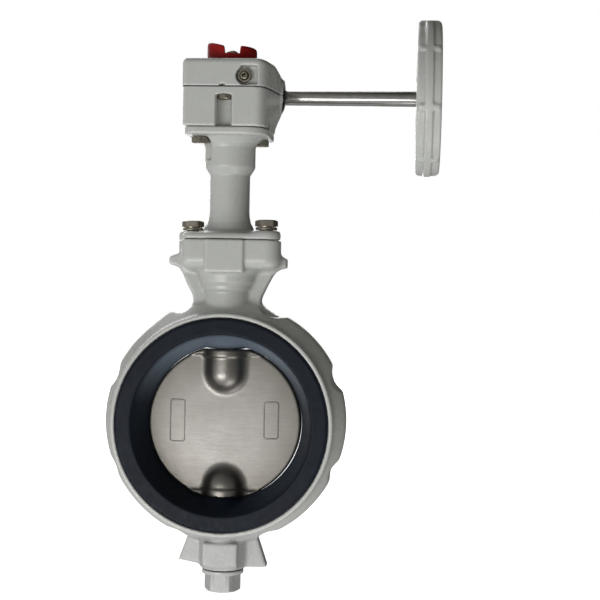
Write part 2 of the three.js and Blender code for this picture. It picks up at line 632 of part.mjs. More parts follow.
function indicatorCap() {
  const knob = rod(CAP.radius, CAP.base, CAP.high, 28);
  const slot = box(-CAP.slot / 2, CAP.slot / 2, -20, 20, CAP.floor, 250).rotate([0, 0, CAP.turn]);
  const above = outline([[-14.4, CAP.high - 0.4], [-CAP.slot / 2, CAP.low + 0.3], [14.6, CAP.low],
    [16.5, CAP.low - 1.4], [20, 250], [-20, 250], [-16.5, CAP.high - 1.8]]);
  const spigot = rod(STEM_TOP_RADIUS + GAP, 230, STEM_TOP + GAP);
  return cut(knob, slot, prismY(above, -20, 20), spigot, rod(2.3, 230, 250, SMALL_SEGMENTS));
}

function indicatorScrew() {
  const seat = CAP.floor + 0.1;
  const top = seat + SCREW_HEAD.height;
  const head = turned([[0, seat], [SCREW_HEAD.radius, seat], [SCREW_HEAD.radius, top - 1.2],
    [SCREW_HEAD.radius - 1.1, top - 0.3], [0, top]], SMALL_SEGMENTS);
  return join(head, rod(2, 228.5, seat + 1, SMALL_SEGMENTS))
    .subtract(box(-5, 5, -0.5, 0.5, top - 1.4, 250));
}

// ---- the assembly ----
const valve = new THREE.Group();

function add(name, piece, color, roughness, metalness) {
  const { vertProperties, triVerts } = piece.getMesh();
  const geometry = new THREE.BufferGeometry();
  geometry.setAttribute('position', new THREE.Float32BufferAttribute(vertProperties, 3));
  geometry.setIndex(new THREE.Uint32BufferAttribute(triVerts, 1));
  geometry.computeVertexNormals();
  const mesh = new THREE.Mesh(geometry, new THREE.MeshStandardMaterial({ color, roughness, metalness }));
  mesh.name = name;
  valve.add(mesh);
}

const painted = (name, piece) => add(name, piece, PAINT, 0.45, 0);
const rubber = (name, piece) => add(name, piece, RUBBER, 0.55, 0);
const steel = (name, piece) => add(name, piece, STEEL, 0.3, 1);
const bronze = (name, piece) => add(name, piece, BRONZE, 0.4, 1);

painted('body', body());
rubber('seat_ring', seatRing());
steel('disc', disc());
steel('upper_stem', upperStem());
steel('lower_stem', lowerStem());
rubber('stem_o_ring_lower', stemRing(68));
rubber('stem_o_ring_upper', stemRing(71));
bronze('body_bush', bush(73, 112));
rubber('lower_stem_o_ring', stemRing(-68));
bronze('lower_bush', bush(-87.6, -70));
add('bottom_cap', bottomCap(), PAINT, 0.6, 0);
rubber('bottom_cap_gasket', capGasket());

painted('neck_column', neckColumn());
bronze('neck_bush', bush(152, 184));
const neckBoltSeat = NECK_FLANGE_TOP + 2.2;
const neckBolt = (turn) => hexBolt(BOLT_HEAD, BOLT_RADIUS, 20, turn);
steel('neck_bolt_right', moved(neckBolt(0.2), NECK_BOLT.x, -NECK_BOLT.y, neckBoltSeat));
steel('neck_bolt_left', moved(neckBolt(0.05), -NECK_BOLT.x, NECK_BOLT.y, neckBoltSeat));
steel('neck_washer_right', moved(springWasher(), NECK_BOLT.x, -NECK_BOLT.y, NECK_FLANGE_TOP + 0.1));
steel('neck_washer_left', moved(springWasher(), -NECK_BOLT.x, NECK_BOLT.y, NECK_FLANGE_TOP + 0.1));
const gearBolt = hexBolt(GEAR_BOLT_HEAD, GEAR_BOLT_RADIUS, 16, Math.PI / 6).rotate([180, 0, 0]);
steel('gear_bolt_front', moved(gearBolt, -GEAR_BOLT.x, -GEAR_BOLT.y, TOP_FLANGE_BOTTOM - 0.1));
steel('gear_bolt_rear', moved(gearBolt, GEAR_BOLT.x, GEAR_BOLT.y, TOP_FLANGE_BOTTOM - 0.1));

painted('gear_housing', gearHousing());
painted('gear_cover', gearCover());
rubber('cover_gasket', coverGasket());
COVER_SCREWS.forEach((screw) => steel(`cover_screw_${screw.name}`, coverScrew(screw)));
steel('stop_screw_closed', atFront(stopScrew()));
steel('stop_nut_closed', atFront(lockNut()));
steel('stop_screw_open', atLeft(stopScrew()));
steel('stop_nut_open', atLeft(lockNut()));
bronze('worm_wheel', wormWheel());
steel('gear_key', gearKey());
steel('worm_shaft', wormShaft());
bronze('worm_bush_left', wormBush(-23, -15));
bronze('worm_bush_right', wormBush(15, 23));
steel('worm_end_plug', wormTube(0.01, 8.3, TUNNEL_LEFT + 0.5, -28));
rubber('shaft_seal', wormTube(SHAFT_RADIUS + GAP, 8.3, 28.3, TUNNEL_RIGHT - 0.6));
painted('handwheel', handwheel());
steel('wheel_pin', wheelPin());
rubber('indicator_seal', tube(STEM_TOP_RADIUS + GAP, 8.3, 225.2, 232));
add('indicator_cap', indicatorCap(), RED, 0.6, 0);
steel('indicator_screw', indicatorScrew());

export default valve;
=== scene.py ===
import json
import math

import bmesh
import bpy
import numpy as np
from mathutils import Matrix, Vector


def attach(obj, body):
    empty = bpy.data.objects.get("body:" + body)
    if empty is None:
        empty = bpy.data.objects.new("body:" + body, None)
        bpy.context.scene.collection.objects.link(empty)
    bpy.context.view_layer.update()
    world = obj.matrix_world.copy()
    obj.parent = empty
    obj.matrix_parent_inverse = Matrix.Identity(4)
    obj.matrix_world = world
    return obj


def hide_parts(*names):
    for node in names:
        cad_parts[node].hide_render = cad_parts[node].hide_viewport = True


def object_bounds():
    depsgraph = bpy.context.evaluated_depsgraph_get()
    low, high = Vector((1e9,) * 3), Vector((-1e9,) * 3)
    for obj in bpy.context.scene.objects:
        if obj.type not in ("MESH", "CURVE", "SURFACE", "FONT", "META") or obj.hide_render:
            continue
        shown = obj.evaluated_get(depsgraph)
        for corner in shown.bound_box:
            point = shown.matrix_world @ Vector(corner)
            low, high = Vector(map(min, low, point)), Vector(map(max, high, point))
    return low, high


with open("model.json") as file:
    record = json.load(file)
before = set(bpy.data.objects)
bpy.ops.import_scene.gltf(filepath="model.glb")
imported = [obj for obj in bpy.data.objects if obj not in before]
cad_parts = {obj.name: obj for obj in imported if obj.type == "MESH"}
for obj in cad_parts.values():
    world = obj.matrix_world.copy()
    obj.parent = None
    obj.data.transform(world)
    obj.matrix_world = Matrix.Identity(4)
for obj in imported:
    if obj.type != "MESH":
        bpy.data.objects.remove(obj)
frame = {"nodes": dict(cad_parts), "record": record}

import openvdb
from mathutils import Matrix, Vector

# Looks of a wafer butterfly valve. Shapes below are worked out in millimetres, in the frame's own
# axes (origin at the bore's centre, +Y along the pipe, +Z up the stem), and stored in metres.
MM = 0.001
cad_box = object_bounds()


# ---- distance fields: shapes as signed distances in mm, negative inside ----
def smooth_min(a, b, k):
    """Union of two fields with a fillet of about k."""
    h = np.clip(0.5 + 0.5 * (b - a) / k, 0, 1)
    return b + (a - b) * h - k * h * (1 - h)


def smooth_max(a, b, k):
    """Intersection of two fields, its edge rounded by about k."""
    return -smooth_min(-a, -b, k)


def carve(a, b, k=0.0):
    """a with b taken away, the cut's edge rounded by about k."""
    return smooth_max(a, -b, k) if k else np.maximum(a, -b)


def join(*fields):
    """Plain union."""
    out = fields[0]
    for field in fields[1:]:
        out = np.minimum(out, field)
    return out


def both(a, b):
    """The field of a flat outline's distance a and a thickness distance b, as one solid."""
    outside = np.hypot(np.maximum(a, 0), np.maximum(b, 0))
    return outside + np.minimum(np.maximum(a, b), 0)


def span(w, low, high):
    """Distance to the slab from low to high."""
    return np.abs(w - (low + high) / 2) - (high - low) / 2


def rod(u, v, w, radius, low, high, soft=0.0):
    """A cylinder along w with its edges rounded by soft."""
    side = np.hypot(u, v) - radius + soft
    return both(side, span(w, low, high) + soft) - soft


def block(x, y, z, low, high, soft=0.0):
    """A box between two corners with its edges rounded by soft."""
    sides = [span(w, a, b) + soft for w, a, b in zip((x, y, z), low, high)]
    out = np.sqrt(sum(np.maximum(s, 0) ** 2 for s in sides))
    inside = np.minimum(np.maximum(np.maximum(sides[0], sides[1]), sides[2]), 0)
    return out + inside - soft


def ball(x, y, z, centre, radius):
    return np.sqrt((x - centre[0]) ** 2 + (y - centre[1]) ** 2 + (z - centre[2]) ** 2) - radius


def outline(u, v, points):
    """Signed distance to a closed outline."""
    best = None
    inside = None
    for i, (ax, ay) in enumerate(points):
        bx, by = points[i - 1]
        ex = bx - ax
        ey = by - ay
        t = np.clip(((u - ax) * ex + (v - ay) * ey) / (ex * ex + ey * ey), 0, 1)
        reach = (u - ax - t * ex) ** 2 + (v - ay - t * ey) ** 2
        best = reach if best is None else np.minimum(best, reach)
        crossed = (ay > v) != (by > v)
        rise = ey if ey else 1e-9
        hit = crossed & (u < ax + (v - ay) * ex / rise)
        inside = hit if inside is None else inside ^ hit
    return np.where(inside, -1, 1) * np.sqrt(best)


def sampled(values, spots):
    """Values of a grid at fractional places, one row of three indices for each."""
    spots = np.clip(spots, 0, np.array(values.shape) - 1.001)
    base = np.floor(spots).astype(int)
    share = spots - base
    out = 0
    for corner in range(8):
        step = np.array([corner & 1, corner >> 1 & 1, corner >> 2 & 1])
        weight = np.prod(np.where(step, share, 1 - share), axis=1)
        i, j, k = (base + step).T
        out = out + weight * values[i, j, k]
    return out


def slopes(values, spots):
    """The field's unit slope at each spot, which is the surface's normal there."""
    out = np.empty_like(spots)
    for axis in range(3):
        step = np.zeros(3)
        step[axis] = 0.6
        out[:, axis] = sampled(values, spots + step) - sampled(values, spots - step)
    return out / np.maximum(np.linalg.norm(out, axis=1, keepdims=True), 1e-9)


def field_piece(name, field, low, high, voxel, body, nodes, slot):
    """Meshes a distance field between two corners and rides it on its body in place of its CAD nodes."""
    low = np.array(low, np.float32) - 2 * voxel
    count = np.ceil((np.array(high, np.float32) + 2 * voxel - low) / voxel).astype(int) + 1
    x, y, z = (low[i] + voxel * np.arange(count[i], dtype=np.float32) for i in range(3))
    distance = np.broadcast_to(field(x[:, None, None], y[None, :, None], z[None, None, :]), tuple(count))
    distance = (distance / voxel).astype(np.float32)
    grid = openvdb.FloatGrid(3.0)
    grid.copyFromArray(np.clip(distance, -3, 3), tolerance=0)
    points, triangles, quads = grid.convertToPolygons(isovalue=0.0, adaptivity=0.0)
    for _ in range(2):
        points = points - np.clip(sampled(distance, points), -0.5, 0.5)[:, None] * slopes(distance, points)
    mesh = bpy.data.meshes.new(name)
    mesh.from_pydata(((points * voxel + low) * MM).tolist(), [], quads.tolist() + triangles.tolist())
    finish_piece(name, mesh, body, nodes, slot)
    mesh.normals_split_custom_set_from_vertices(slopes(distance, points).tolist())


# ---- lathe work ----
AXIS_TURNS = {
    "X": Matrix(((0, 0, 1), (1, 0, 0), (0, 1, 0))),
    "Y": Matrix(((0, 1, 0), (0, 0, 1), (1, 0, 0))),
    "Z": Matrix.Identity(3),
}


def bridge(bm, a, b):
    """The band of faces between two rings."""
    return [bm.faces.new((a[k - 1], a[k], b[k], b[k - 1])) for k in range(len(a))]


def finished_mesh(name, bm):
    """Turns all faces outward and hands the work over as a mesh."""
    bmesh.ops.recalc_face_normals(bm, faces=bm.faces)
    mesh = bpy.data.meshes.new(name)
    bm.to_mesh(mesh)
    bm.free()
    return mesh


def rounded(points, radius, steps=4, closed=True):
    """An outline with its corners rounded. radius is one number or one for each corner."""
    radii = radius if isinstance(radius, (list, tuple)) else [radius] * len(points)
    out = []
    last = len(points) - 1
    for i, point in enumerate(points):
        here = Vector(point)
        if radii[i] <= 0 or (not closed and i in (0, last)):
            out.append(here)
            continue
        before = Vector(points[i - 1]) - here
        after = Vector(points[(i + 1) % len(points)]) - here
        half = before.angle(after) / 2
        if half > 1.55:
            out.append(here)
            continue
        limit = 0.48 * min(before.length, after.length)
        cut = min(radii[i] / math.tan(half), limit)
        size = cut * math.tan(half)
        middle = here + (before.normalized() + after.normalized()).normalized() * size / math.sin(half)
        start = here + before.normalized() * cut - middle
        end = here + after.normalized() * cut - middle
        turn = start.angle_signed(end)
        for k in range(steps + 1):
            angle = -turn * k / steps
            rotated = Matrix.Rotation(angle, 2) @ start
            out.append(middle + rotated)
    return [tuple(p) for p in out]


def lathe_mesh(name, profile, axis, centre, segments, closed=False):
    """Turns [radius, height] points about an axis through centre. Points on the axis become one vertex."""
    bm = bmesh.new()
    rings = []
    turn = AXIS_TURNS[axis]
    for radius, height in profile:
        if radius < 1e-6:
            rings.append([bm.verts.new((turn @ Vector((0, 0, height)) + Vector(centre)) * MM)])
            continue
        ring = []
        for i in range(segments):
            angle = math.tau * i / segments
            spot = Vector((radius * math.cos(angle), radius * math.sin(angle), height))
            ring.append(bm.verts.new((turn @ spot + Vector(centre)) * MM))
        rings.append(ring)
    pairs = list(zip(rings, rings[1:]))
    if closed:
        pairs.append((rings[-1], rings[0]))
    for a, b in pairs:
        for i in range(segments):
            j = (i + 1) % segments
            corners = [a[i % len(a)], a[j % len(a)], b[j % len(b)], b[i % len(b)]]
            face = list(dict.fromkeys(corners))
            if len(face) > 2:
                bm.faces.new(face)
    return finished_mesh(name, bm)


def lathe_piece(name, profile, axis, centre, body, nodes, slot, segments=96, closed=False, sharp=35):
    mesh = lathe_mesh(name, profile, axis, centre, segments, closed)
    finish_piece(name, mesh, body, nodes, slot, sharp)


def finish_piece(name, mesh, body, nodes, slot, sharp=None):
    """Smooths a mesh, links it, and rides it on its body in place of its CAD nodes."""
    for polygon in mesh.polygons:
        polygon.use_smooth = True
    if sharp:
        mesh.set_sharp_from_angle(angle=math.radians(sharp))
    piece = bpy.data.objects.new(name, mesh)
    bpy.context.scene.collection.objects.link(piece)
    mesh.materials.append(MATERIALS[slot])
    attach(piece, body)
    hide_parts(*nodes)


# ---- materials ----
def new_material(name):
    material = bpy.data.materials.new(name)
    material.use_nodes = True
    nodes = material.node_tree.nodes
    nodes.clear()
    output = nodes.new("ShaderNodeOutputMaterial")
    shader = nodes.new("ShaderNodeBsdfPrincipled")
    material.node_tree.links.new(shader.outputs["BSDF"], output.inputs["Surface"])
    return material, shader


class Tree:
    """Short calls for building one material's nodes."""

    def __init__(self, material):
        self.tree = material.node_tree
        self.place = self.node("ShaderNodeTexCoord").outputs["Object"]

    def node(self, kind, **values):
        made = self.tree.nodes.new(kind)
        for key, value in values.items():
            setattr(made, key, value)
        return made

    def link(self, source, target):
        self.tree.links.new(source, target)

    def stretched(self, x, y, z):
        made = self.node("ShaderNodeMapping")
        made.inputs["Scale"].default_value = (x, y, z)
        self.link(self.place, made.inputs["Vector"])
        return made.outputs["Vector"]

    def noise(self, scale, detail, roughness, vector=None):
        made = self.node("ShaderNodeTexNoise")
        made.inputs["Scale"].default_value = scale
        made.inputs["Detail"].default_value = detail
        made.inputs["Roughness"].default_value = roughness
        self.link(vector or self.place, made.inputs["Vector"])
        return made.outputs["Fac"]

    def ramp(self, value, stops):
        made = self.node("ShaderNodeValToRGB")
        elements = made.color_ramp.elements
        while len(elements) < len(stops):
            elements.new(0.5)
        for element, (place, color) in zip(elements, stops):
            element.position = place
            element.color = (*color, 1) if isinstance(color, tuple) else (color, color, color, 1)
        self.link(value, made.inputs["Fac"])
        return made.outputs["Color"]

    def mapped(self, value, low, high, to_low, to_high):
        made = self.node("ShaderNodeMapRange")
        for key, number in zip(("From Min", "From Max", "To Min", "To Max"), (low, high, to_low, to_high)):
            made.inputs[key].default_value = number
        self.link(value, made.inputs["Value"])
        return made.outputs["Result"]

    def mixed(self, share, a, b):
        made = self.node("ShaderNodeMix", data_type="RGBA")
        for socket, value in ((made.inputs["Factor"], share), (made.inputs[6], a), (made.inputs[7], b)):
            if isinstance(value, (int, float)):
                socket.default_value = value
            elif isinstance(value, tuple):
                socket.default_value = (*value, 1)
            else:
                self.link(value, socket)
        return made.outputs[2]

    def sum(self, a, b, weight=1.0):
        made = self.node("ShaderNodeMath", operation="MULTIPLY_ADD")
        self.link(b, made.inputs[0])
        made.inputs[1].default_value = weight
        self.link(a, made.inputs[2])
        return made.outputs[0]

    def axis(self, name):
        apart = self.node("ShaderNodeSeparateXYZ")
        self.link(self.place, apart.inputs["Vector"])
        return apart.outputs[name]

    def from_pipe_axis(self):
        """Distance from the pipe's axis, in metres."""
        flat = self.node("ShaderNodeVectorMath", operation="MULTIPLY")
        flat.inputs[1].default_value = (1, 0, 1)
        self.link(self.place, flat.inputs[0])
        reach = self.node("ShaderNodeVectorMath", operation="LENGTH")
        self.link(flat.outputs[0], reach.inputs[0])
        return reach.outputs["Value"]

    def bump(self, shader, height, strength, distance):
        made = self.node("ShaderNodeBump")
        made.inputs["Strength"].default_value = strength
        made.inputs["Distance"].default_value = distance
        self.link(height, made.inputs["Height"])
        self.link(made.outputs["Normal"], shader.inputs["Normal"])


def paint_material():
    """Warm grey paint over a fine cast skin, a little thinner and brighter on the foot. Convex edges are
    lighter, a painted highlight, and creases darker, painted shade.
    """
    material, shader = new_material("paint")
    t = Tree(material)
    cloud = t.noise(38, 4, 0.6)
    tone = t.ramp(cloud, [(0.3, (0.44, 0.45, 0.43)), (0.7, (0.48, 0.49, 0.466))])
    grit = t.noise(1500, 3, 0.7)
    tone = t.mixed(t.mapped(grit, 0.3, 0.7, 0.0, 0.2), tone, (0.35, 0.355, 0.33))
    foot = t.mapped(t.axis("Z"), -0.066, -0.074, 0.0, 0.85)
    silver = t.ramp(t.noise(900, 4, 0.75), [(0.35, (0.32, 0.32, 0.315)), (0.65, (0.43, 0.43, 0.43))])
    tone = t.mixed(foot, tone, silver)
    # Painted highlight: lighter paint on convex edges. Painted shade: darker paint in creases and hollows.
    point = t.node("ShaderNodeNewGeometry").outputs["Pointiness"]
    tone = t.mixed(t.mapped(point, 0.515, 0.56, 0.0, 0.45), tone, (0.62, 0.62, 0.59))
    tone = t.mixed(t.mapped(point, 0.485, 0.44, 0.0, 0.55), tone, (0.24, 0.235, 0.20))
    t.link(tone, shader.inputs["Base Color"])
    t.link(t.mapped(t.noise(220, 3, 0.6), 0.3, 0.7, 0.24, 0.36), shader.inputs["Roughness"])
    skin = t.sum(t.noise(160, 2, 0.5), t.noise(900, 3, 0.6), 0.5)
    t.bump(shader, skin, 0.1, 0.0004)
    return material


def rubber_material(name, color, roughness, painted_taper_sheen=False):
    """Dark rubber. Optionally a lighter slate band on the upper part of the seat's inner taper, a painted
    reflection.
    """
    material, shader = new_material(name)
    t = Tree(material)
    cloud = t.noise(60, 4, 0.6)
    lighter = tuple(c * 1.5 + 0.003 for c in color)
    tone = t.ramp(cloud, [(0.3, color), (0.75, lighter)])
    # Painted reflection: a lighter slate band on the upper inner taper, standing in for the disc and the
    # light below.
    if painted_taper_sheen:
        inner = t.mapped(t.from_pipe_axis(), 0.0580, 0.0562, 0.0, 1.0)
        upper = t.mapped(t.axis("Z"), 0.012, 0.046, 0.0, 1.0)
        taper_sheen_share = t.node("ShaderNodeMath", operation="MULTIPLY")
        t.link(inner, taper_sheen_share.inputs[0])
        t.link(upper, taper_sheen_share.inputs[1])
        tone = t.mixed(taper_sheen_share.outputs[0], tone, (0.10, 0.125, 0.155))
    t.link(tone, shader.inputs["Base Color"])
    t.link(t.mapped(t.noise(300, 3, 0.6), 0.3, 0.7, roughness - 0.06, roughness + 0.08),
           shader.inputs["Roughness"])
    shader.inputs["Specular IOR Level"].default_value = 0.14
    shader.inputs["Sheen Weight"].default_value = 0.2
    shader.inputs["Sheen Roughness"].default_value = 0.35
    shader.inputs["Sheen Tint"].default_value = (0.5, 0.62, 0.8, 1)
    t.bump(shader, t.sum(t.noise(1400, 2, 0.5), t.noise(120, 2, 0.5), 0.8), 0.12, 0.0003)
    return material


def disc_material():
    """Cast stainless steel, ground along X to a fine grain, polished on the hubs, and darkened towards its
    rim by painted shade: the dark seat's reflection and shadow.
    """
    material, shader = new_material("disc_steel")
    t = Tree(material)
    grain = t.noise(900, 4, 0.65, t.stretched(0.06, 1, 1))
    fine = t.noise(2600, 2, 0.6, t.stretched(0.1, 1, 1))
    cloud = t.noise(34, 4, 0.6)
    tone = t.ramp(cloud, [(0.3, (0.25, 0.236, 0.218)), (0.7, (0.31, 0.296, 0.278))])
    tone = t.mixed(t.mapped(grain, 0.35, 0.65, 0.0, 0.3), tone, (0.19, 0.18, 0.163))
    # Painted shade: darker towards the rim, standing in for the dark seat's reflection and shadow.
    rim = t.sum(t.from_pipe_axis(), t.noise(45, 3, 0.6), 0.012)
    tone = t.mixed(t.mapped(rim, 0.032, 0.056, 0.0, 0.75), tone, (0.125, 0.118, 0.10))
    spots = t.ramp(t.noise(420, 2, 0.5), [(0.70, 0.0), (0.76, 1.0)])
    tone = t.mixed(t.mapped(spots, 0, 1, 0, 0.35), tone, (0.2, 0.18, 0.16))
    t.link(tone, shader.inputs["Base Color"])
    shader.inputs["Metallic"].default_value = 1.0
    lift = t.node("ShaderNodeMath", operation="ABSOLUTE")
    t.link(t.axis("Y"), lift.inputs[0])
    hub = t.mapped(lift.outputs[0], 0.0064, 0.0078, 0.43, 0.36)
    t.link(t.sum(hub, t.mapped(fine, 0.3, 0.7, -0.06, 0.06)), shader.inputs["Roughness"])
    t.bump(shader, t.sum(grain, fine, 0.5), 0.22, 0.00012)
    return material


def metal_material(name, low, high, roughness, scratch_axis=(1, 1, 1), bump=0.1):
    """Bare metal with faint clouding and fine marks stretched along one axis."""
    material, shader = new_material(name)
    t = Tree(material)
    marks = t.noise(1600, 3, 0.6, t.stretched(*scratch_axis))
    tone = t.ramp(t.noise(140, 4, 0.6), [(0.3, low), (0.7, high)])
    tone = t.mixed(t.mapped(marks, 0.35, 0.7, 0.0, 0.3), tone, tuple(c * 0.6 for c in low))
    t.link(tone, shader.inputs["Base Color"])
    shader.inputs["Metallic"].default_value = 1.0
    t.link(t.mapped(marks, 0.3, 0.7, roughness - 0.05, roughness + 0.1), shader.inputs["Roughness"])
    t.bump(shader, marks, bump, 0.0001)
    return material


def plastic_material():
    """Dark red moulded plastic with a fine matt grain."""
    material, shader = new_material("red_plastic")
    t = Tree(material)
    tone = t.ramp(t.noise(90, 4, 0.6), [(0.3, (0.21, 0.005, 0.004)), (0.7, (0.29, 0.007, 0.006))])
    # Painted highlight: a lighter red on convex edges.
    point = t.node("ShaderNodeNewGeometry").outputs["Pointiness"]
    tone = t.mixed(t.mapped(point, 0.52, 0.58, 0.0, 0.4), tone, (0.4, 0.016, 0.012))
    t.link(tone, shader.inputs["Base Color"])
    t.link(t.mapped(t.noise(500, 3, 0.6), 0.3, 0.7, 0.42, 0.56), shader.inputs["Roughness"])
    shader.inputs["Specular IOR Level"].default_value = 0.15
    t.bump(shader, t.noise(1800, 2, 0.5), 0.1, 0.0002)
    return material


MATERIALS = {
    "paint": paint_material(),
    "seat_rubber": rubber_material("seat_rubber", (0.003, 0.0055, 0.0105), 0.44, True),
    "seal_rubber": rubber_material("seal_rubber", (0.012, 0.012, 0.011), 0.5),
    "disc_steel": disc_material(),
    "bright_steel": metal_material("bright_steel", (0.36, 0.35, 0.335), (0.45, 0.435, 0.42), 0.16,
                                   (0.08, 1, 1), 0.05),
    "fastener_steel": metal_material("fastener_steel", (0.25, 0.228, 0.18), (0.37, 0.34, 0.285), 0.27,
                                     (1, 1, 1), 0.03),
    "bronze": metal_material("bronze", (0.42, 0.27, 0.11), (0.52, 0.35, 0.16), 0.3),
    "red_plastic": plastic_material(),
}
for row in frame["record"]["subparts"]:
    node = frame["nodes"][row["node"]]
    node.data.materials.clear()
    node.data.materials.append(MATERIALS[row["material_slot"]])


# ---- body ----
SEAT_OUTER = 68.6  # recess for the seat's lips
SPOOL = 62.7  # bore that the seat's sleeve fills
RING_RADIUS = 71.5
RING_HALF = 25
BOSS_BOTTOM = -95
BODY_TOP = 118.4
STEM_BORE = 10  # room for the stem's bushes
STEM_HOLE = 7.3  # close fit on the stem
NECK_BOLT = (26.0, -14.0)
NECK_BOLT_HOLE = 4.3
NECK_LOW = 118.7
NECK_FLANGE_TOP = 124.8
NECK_TOP = 189.8
GEAR_BOLT = (-18.2, -10.0)
GEAR_BOLT_HOLE = 3.8
# The scallops that the pipe bolts pass through: degrees, distance from the pipe's axis, radius.
NOTCHES = [(22.5 + 45 * i, 87.5, 12) for i in range(8)]
NOTCHES[2] = (111.2, 85.2, 8.5)


def pair_distances(x, y, place):
    """Distances to an upright axis at place and to its twin across the stem."""
    return [np.hypot(x - sign * place[0], y - sign * place[1]) for sign in (1, -1)]


def lug_flange(x, y, middle, lug=9.2):
    """The two-bolt flange seen from above: a round middle with a lug at front right and rear left."""
    reach = math.hypot(*NECK_BOLT)
    ux = NECK_BOLT[0] / reach
    uy = NECK_BOLT[1] / reach
    along = np.abs(x * ux + y * uy)
    across = np.abs(y * ux - x * uy)
    slope = math.asin((middle - lug) / reach)
    side = across * math.cos(slope) + along * math.sin(slope) - middle
    plate = np.maximum(side, along - reach)
    return join(plate, np.hypot(x, y) - middle, np.hypot(along - reach, across) - lug)


def web_outline(x, z):
    """The two curved webs between the ears and the ring, seen from the front."""
    right = [(32, 116), (33.5, 109), (38.6, 107), (38.6, 100.8), (34.6, 100.2), (31.6, 98.4), (29.6, 96),
             (26.6, 90.4), (23.1, 83), (22.1, 80), (22.4, 77), (24.6, 75), (31, 71), (35.5, 68.6), (35, 60)]
    left = [(-30, 60), (-27.6, 69.4), (-24.4, 71.6), (-22.4, 75), (-22, 79), (-22.9, 83.4), (-26.5, 90),
            (-29.6, 97), (-31.9, 100.2), (-34.6, 101.5), (-37.3, 102), (-38.6, 103.2), (-38.6, 106.6),
            (-37, 108), (-32.6, 109.4), (-30.8, 113), (-30, 116)]
    return outline(x, z, right + left)


def block_plan(x, y):
    """The flat front of the body's top block, its corners rounded, seen from above."""
    radius = np.where(x < 0, 6.0, 9.0)
    return both(span(x, -27.6, 35.2) + radius, span(y, -26.5, 0) + radius) - radius


def lobe_field(x, r, side, z):
    """The raised band around the ring, a little uneven as cast, scalloped for the pipe bolts."""
    flank = ((r - RING_RADIUS) * 10 + (side - 19) * 6.5) / 11.93
    reach = 79 + 0.7 * np.clip(z / 50, 0, 1) - 1.3 * np.clip(-z / 50, 0, 1) - 0.9 * np.clip(-x / 60, 0, 1)
    reach = reach + 1.5 * np.exp(-((x + 38) / 6) ** 2) * (z > 0)
    lobe = smooth_max(r - reach, flank, 2.0)
    for angle, far, radius in NOTCHES:
        notch = np.hypot(x - far * math.cos(math.radians(angle)), z - far * math.sin(math.radians(angle)))
        lobe = carve(lobe, notch - radius, 1.6)
    return lobe


def foot_field(x, y, z, side, stem_r):
    """The boss under the ring with its two wings and the blank pad on its front."""
    boss = rod(x, y, z, 15, BOSS_BOTTOM, -60, 1.0)
    wing = outline(x, z, [(-19, -64), (-22, -71.6), (-28.9, -90.4), (-14, -93), (14, -93.9), (29.4, -93.8),
                          (21.6, -71), (19, -64)])
    foot = smooth_min(boss, both(wing + 0.8, side - 4.5 + 0.8) - 0.8, 1.6)
    foot_pad = block(x, y, z, (-11.4, -15.9, BOSS_BOTTOM), (11, 0, -77), 0.5)
    foot_pad = smooth_max(foot_pad, stem_r - 15.6 - np.maximum(z + 93.4, 0) * 1.5, 0.8)
    return smooth_min(foot, foot_pad, 0.6)


def body_field(x, y, z):
    r = np.hypot(x, z)
    side = np.abs(y)
    ring = both(r - RING_RADIUS + 1.2, side - RING_HALF + 1.2) - 1.2
    whole = smooth_min(ring, lobe_field(x, r, side, z), 1.8)
    web = both(web_outline(x, z) + 1.5, side - 5.5 + 1.5) - 1.5
    whole = smooth_min(whole, web, 2.6)
    stem_r = np.hypot(x, y)
    barrel = outline(stem_r, z, [(-9, 60), (16.6, 60), (15.2, 70), (14.8, 79), (14.8, 85.2), (16.5, 86.5),
                                 (16.9, 89.2), (18.7, 91.2), (19.2, 95.6), (22, 101), (-9, 101)])
    whole = smooth_min(whole, barrel, 1.6)
    plan = join(lug_flange(x, y, 24.6), block_plan(x, y))
    top_block = smooth_max(both(plan + 0.8, z - BODY_TOP + 0.8) - 0.8, 99.9 - z, 7.0)
    whole = smooth_min(whole, top_block, 4.2)
    pad = block(x, y, z, (-11.8, -28.2, 97.5), (13, 0, BODY_TOP), 0.4)
    whole = smooth_min(whole, pad, 0.7)
    whole = smooth_min(whole, foot_field(x, y, z, side, stem_r), 1.4)
    whole = np.maximum(np.maximum(whole, z - BODY_TOP), BOSS_BOTTOM - z)
    bore = join(r - SPOOL, both(r - SEAT_OUTER, 20.7 - side))
    holes = join(stem_r - STEM_BORE, both(stem_r - 11.6, z + 86))
    for reach in pair_distances(x, y, NECK_BOLT):
        holes = join(holes, both(reach - NECK_BOLT_HOLE, 103 - z))
    return carve(carve(whole, bore, 0.5), holes)


# ---- neck column ----
def top_flange(x, y):
    """The square flange under the gear box, with larger corners at front right and rear left."""
    radius = np.where(x * y < 0, 15.0, 7.0)
    return both(span(x, -27, 26.2) + radius, np.abs(y) - 27 + radius) - radius


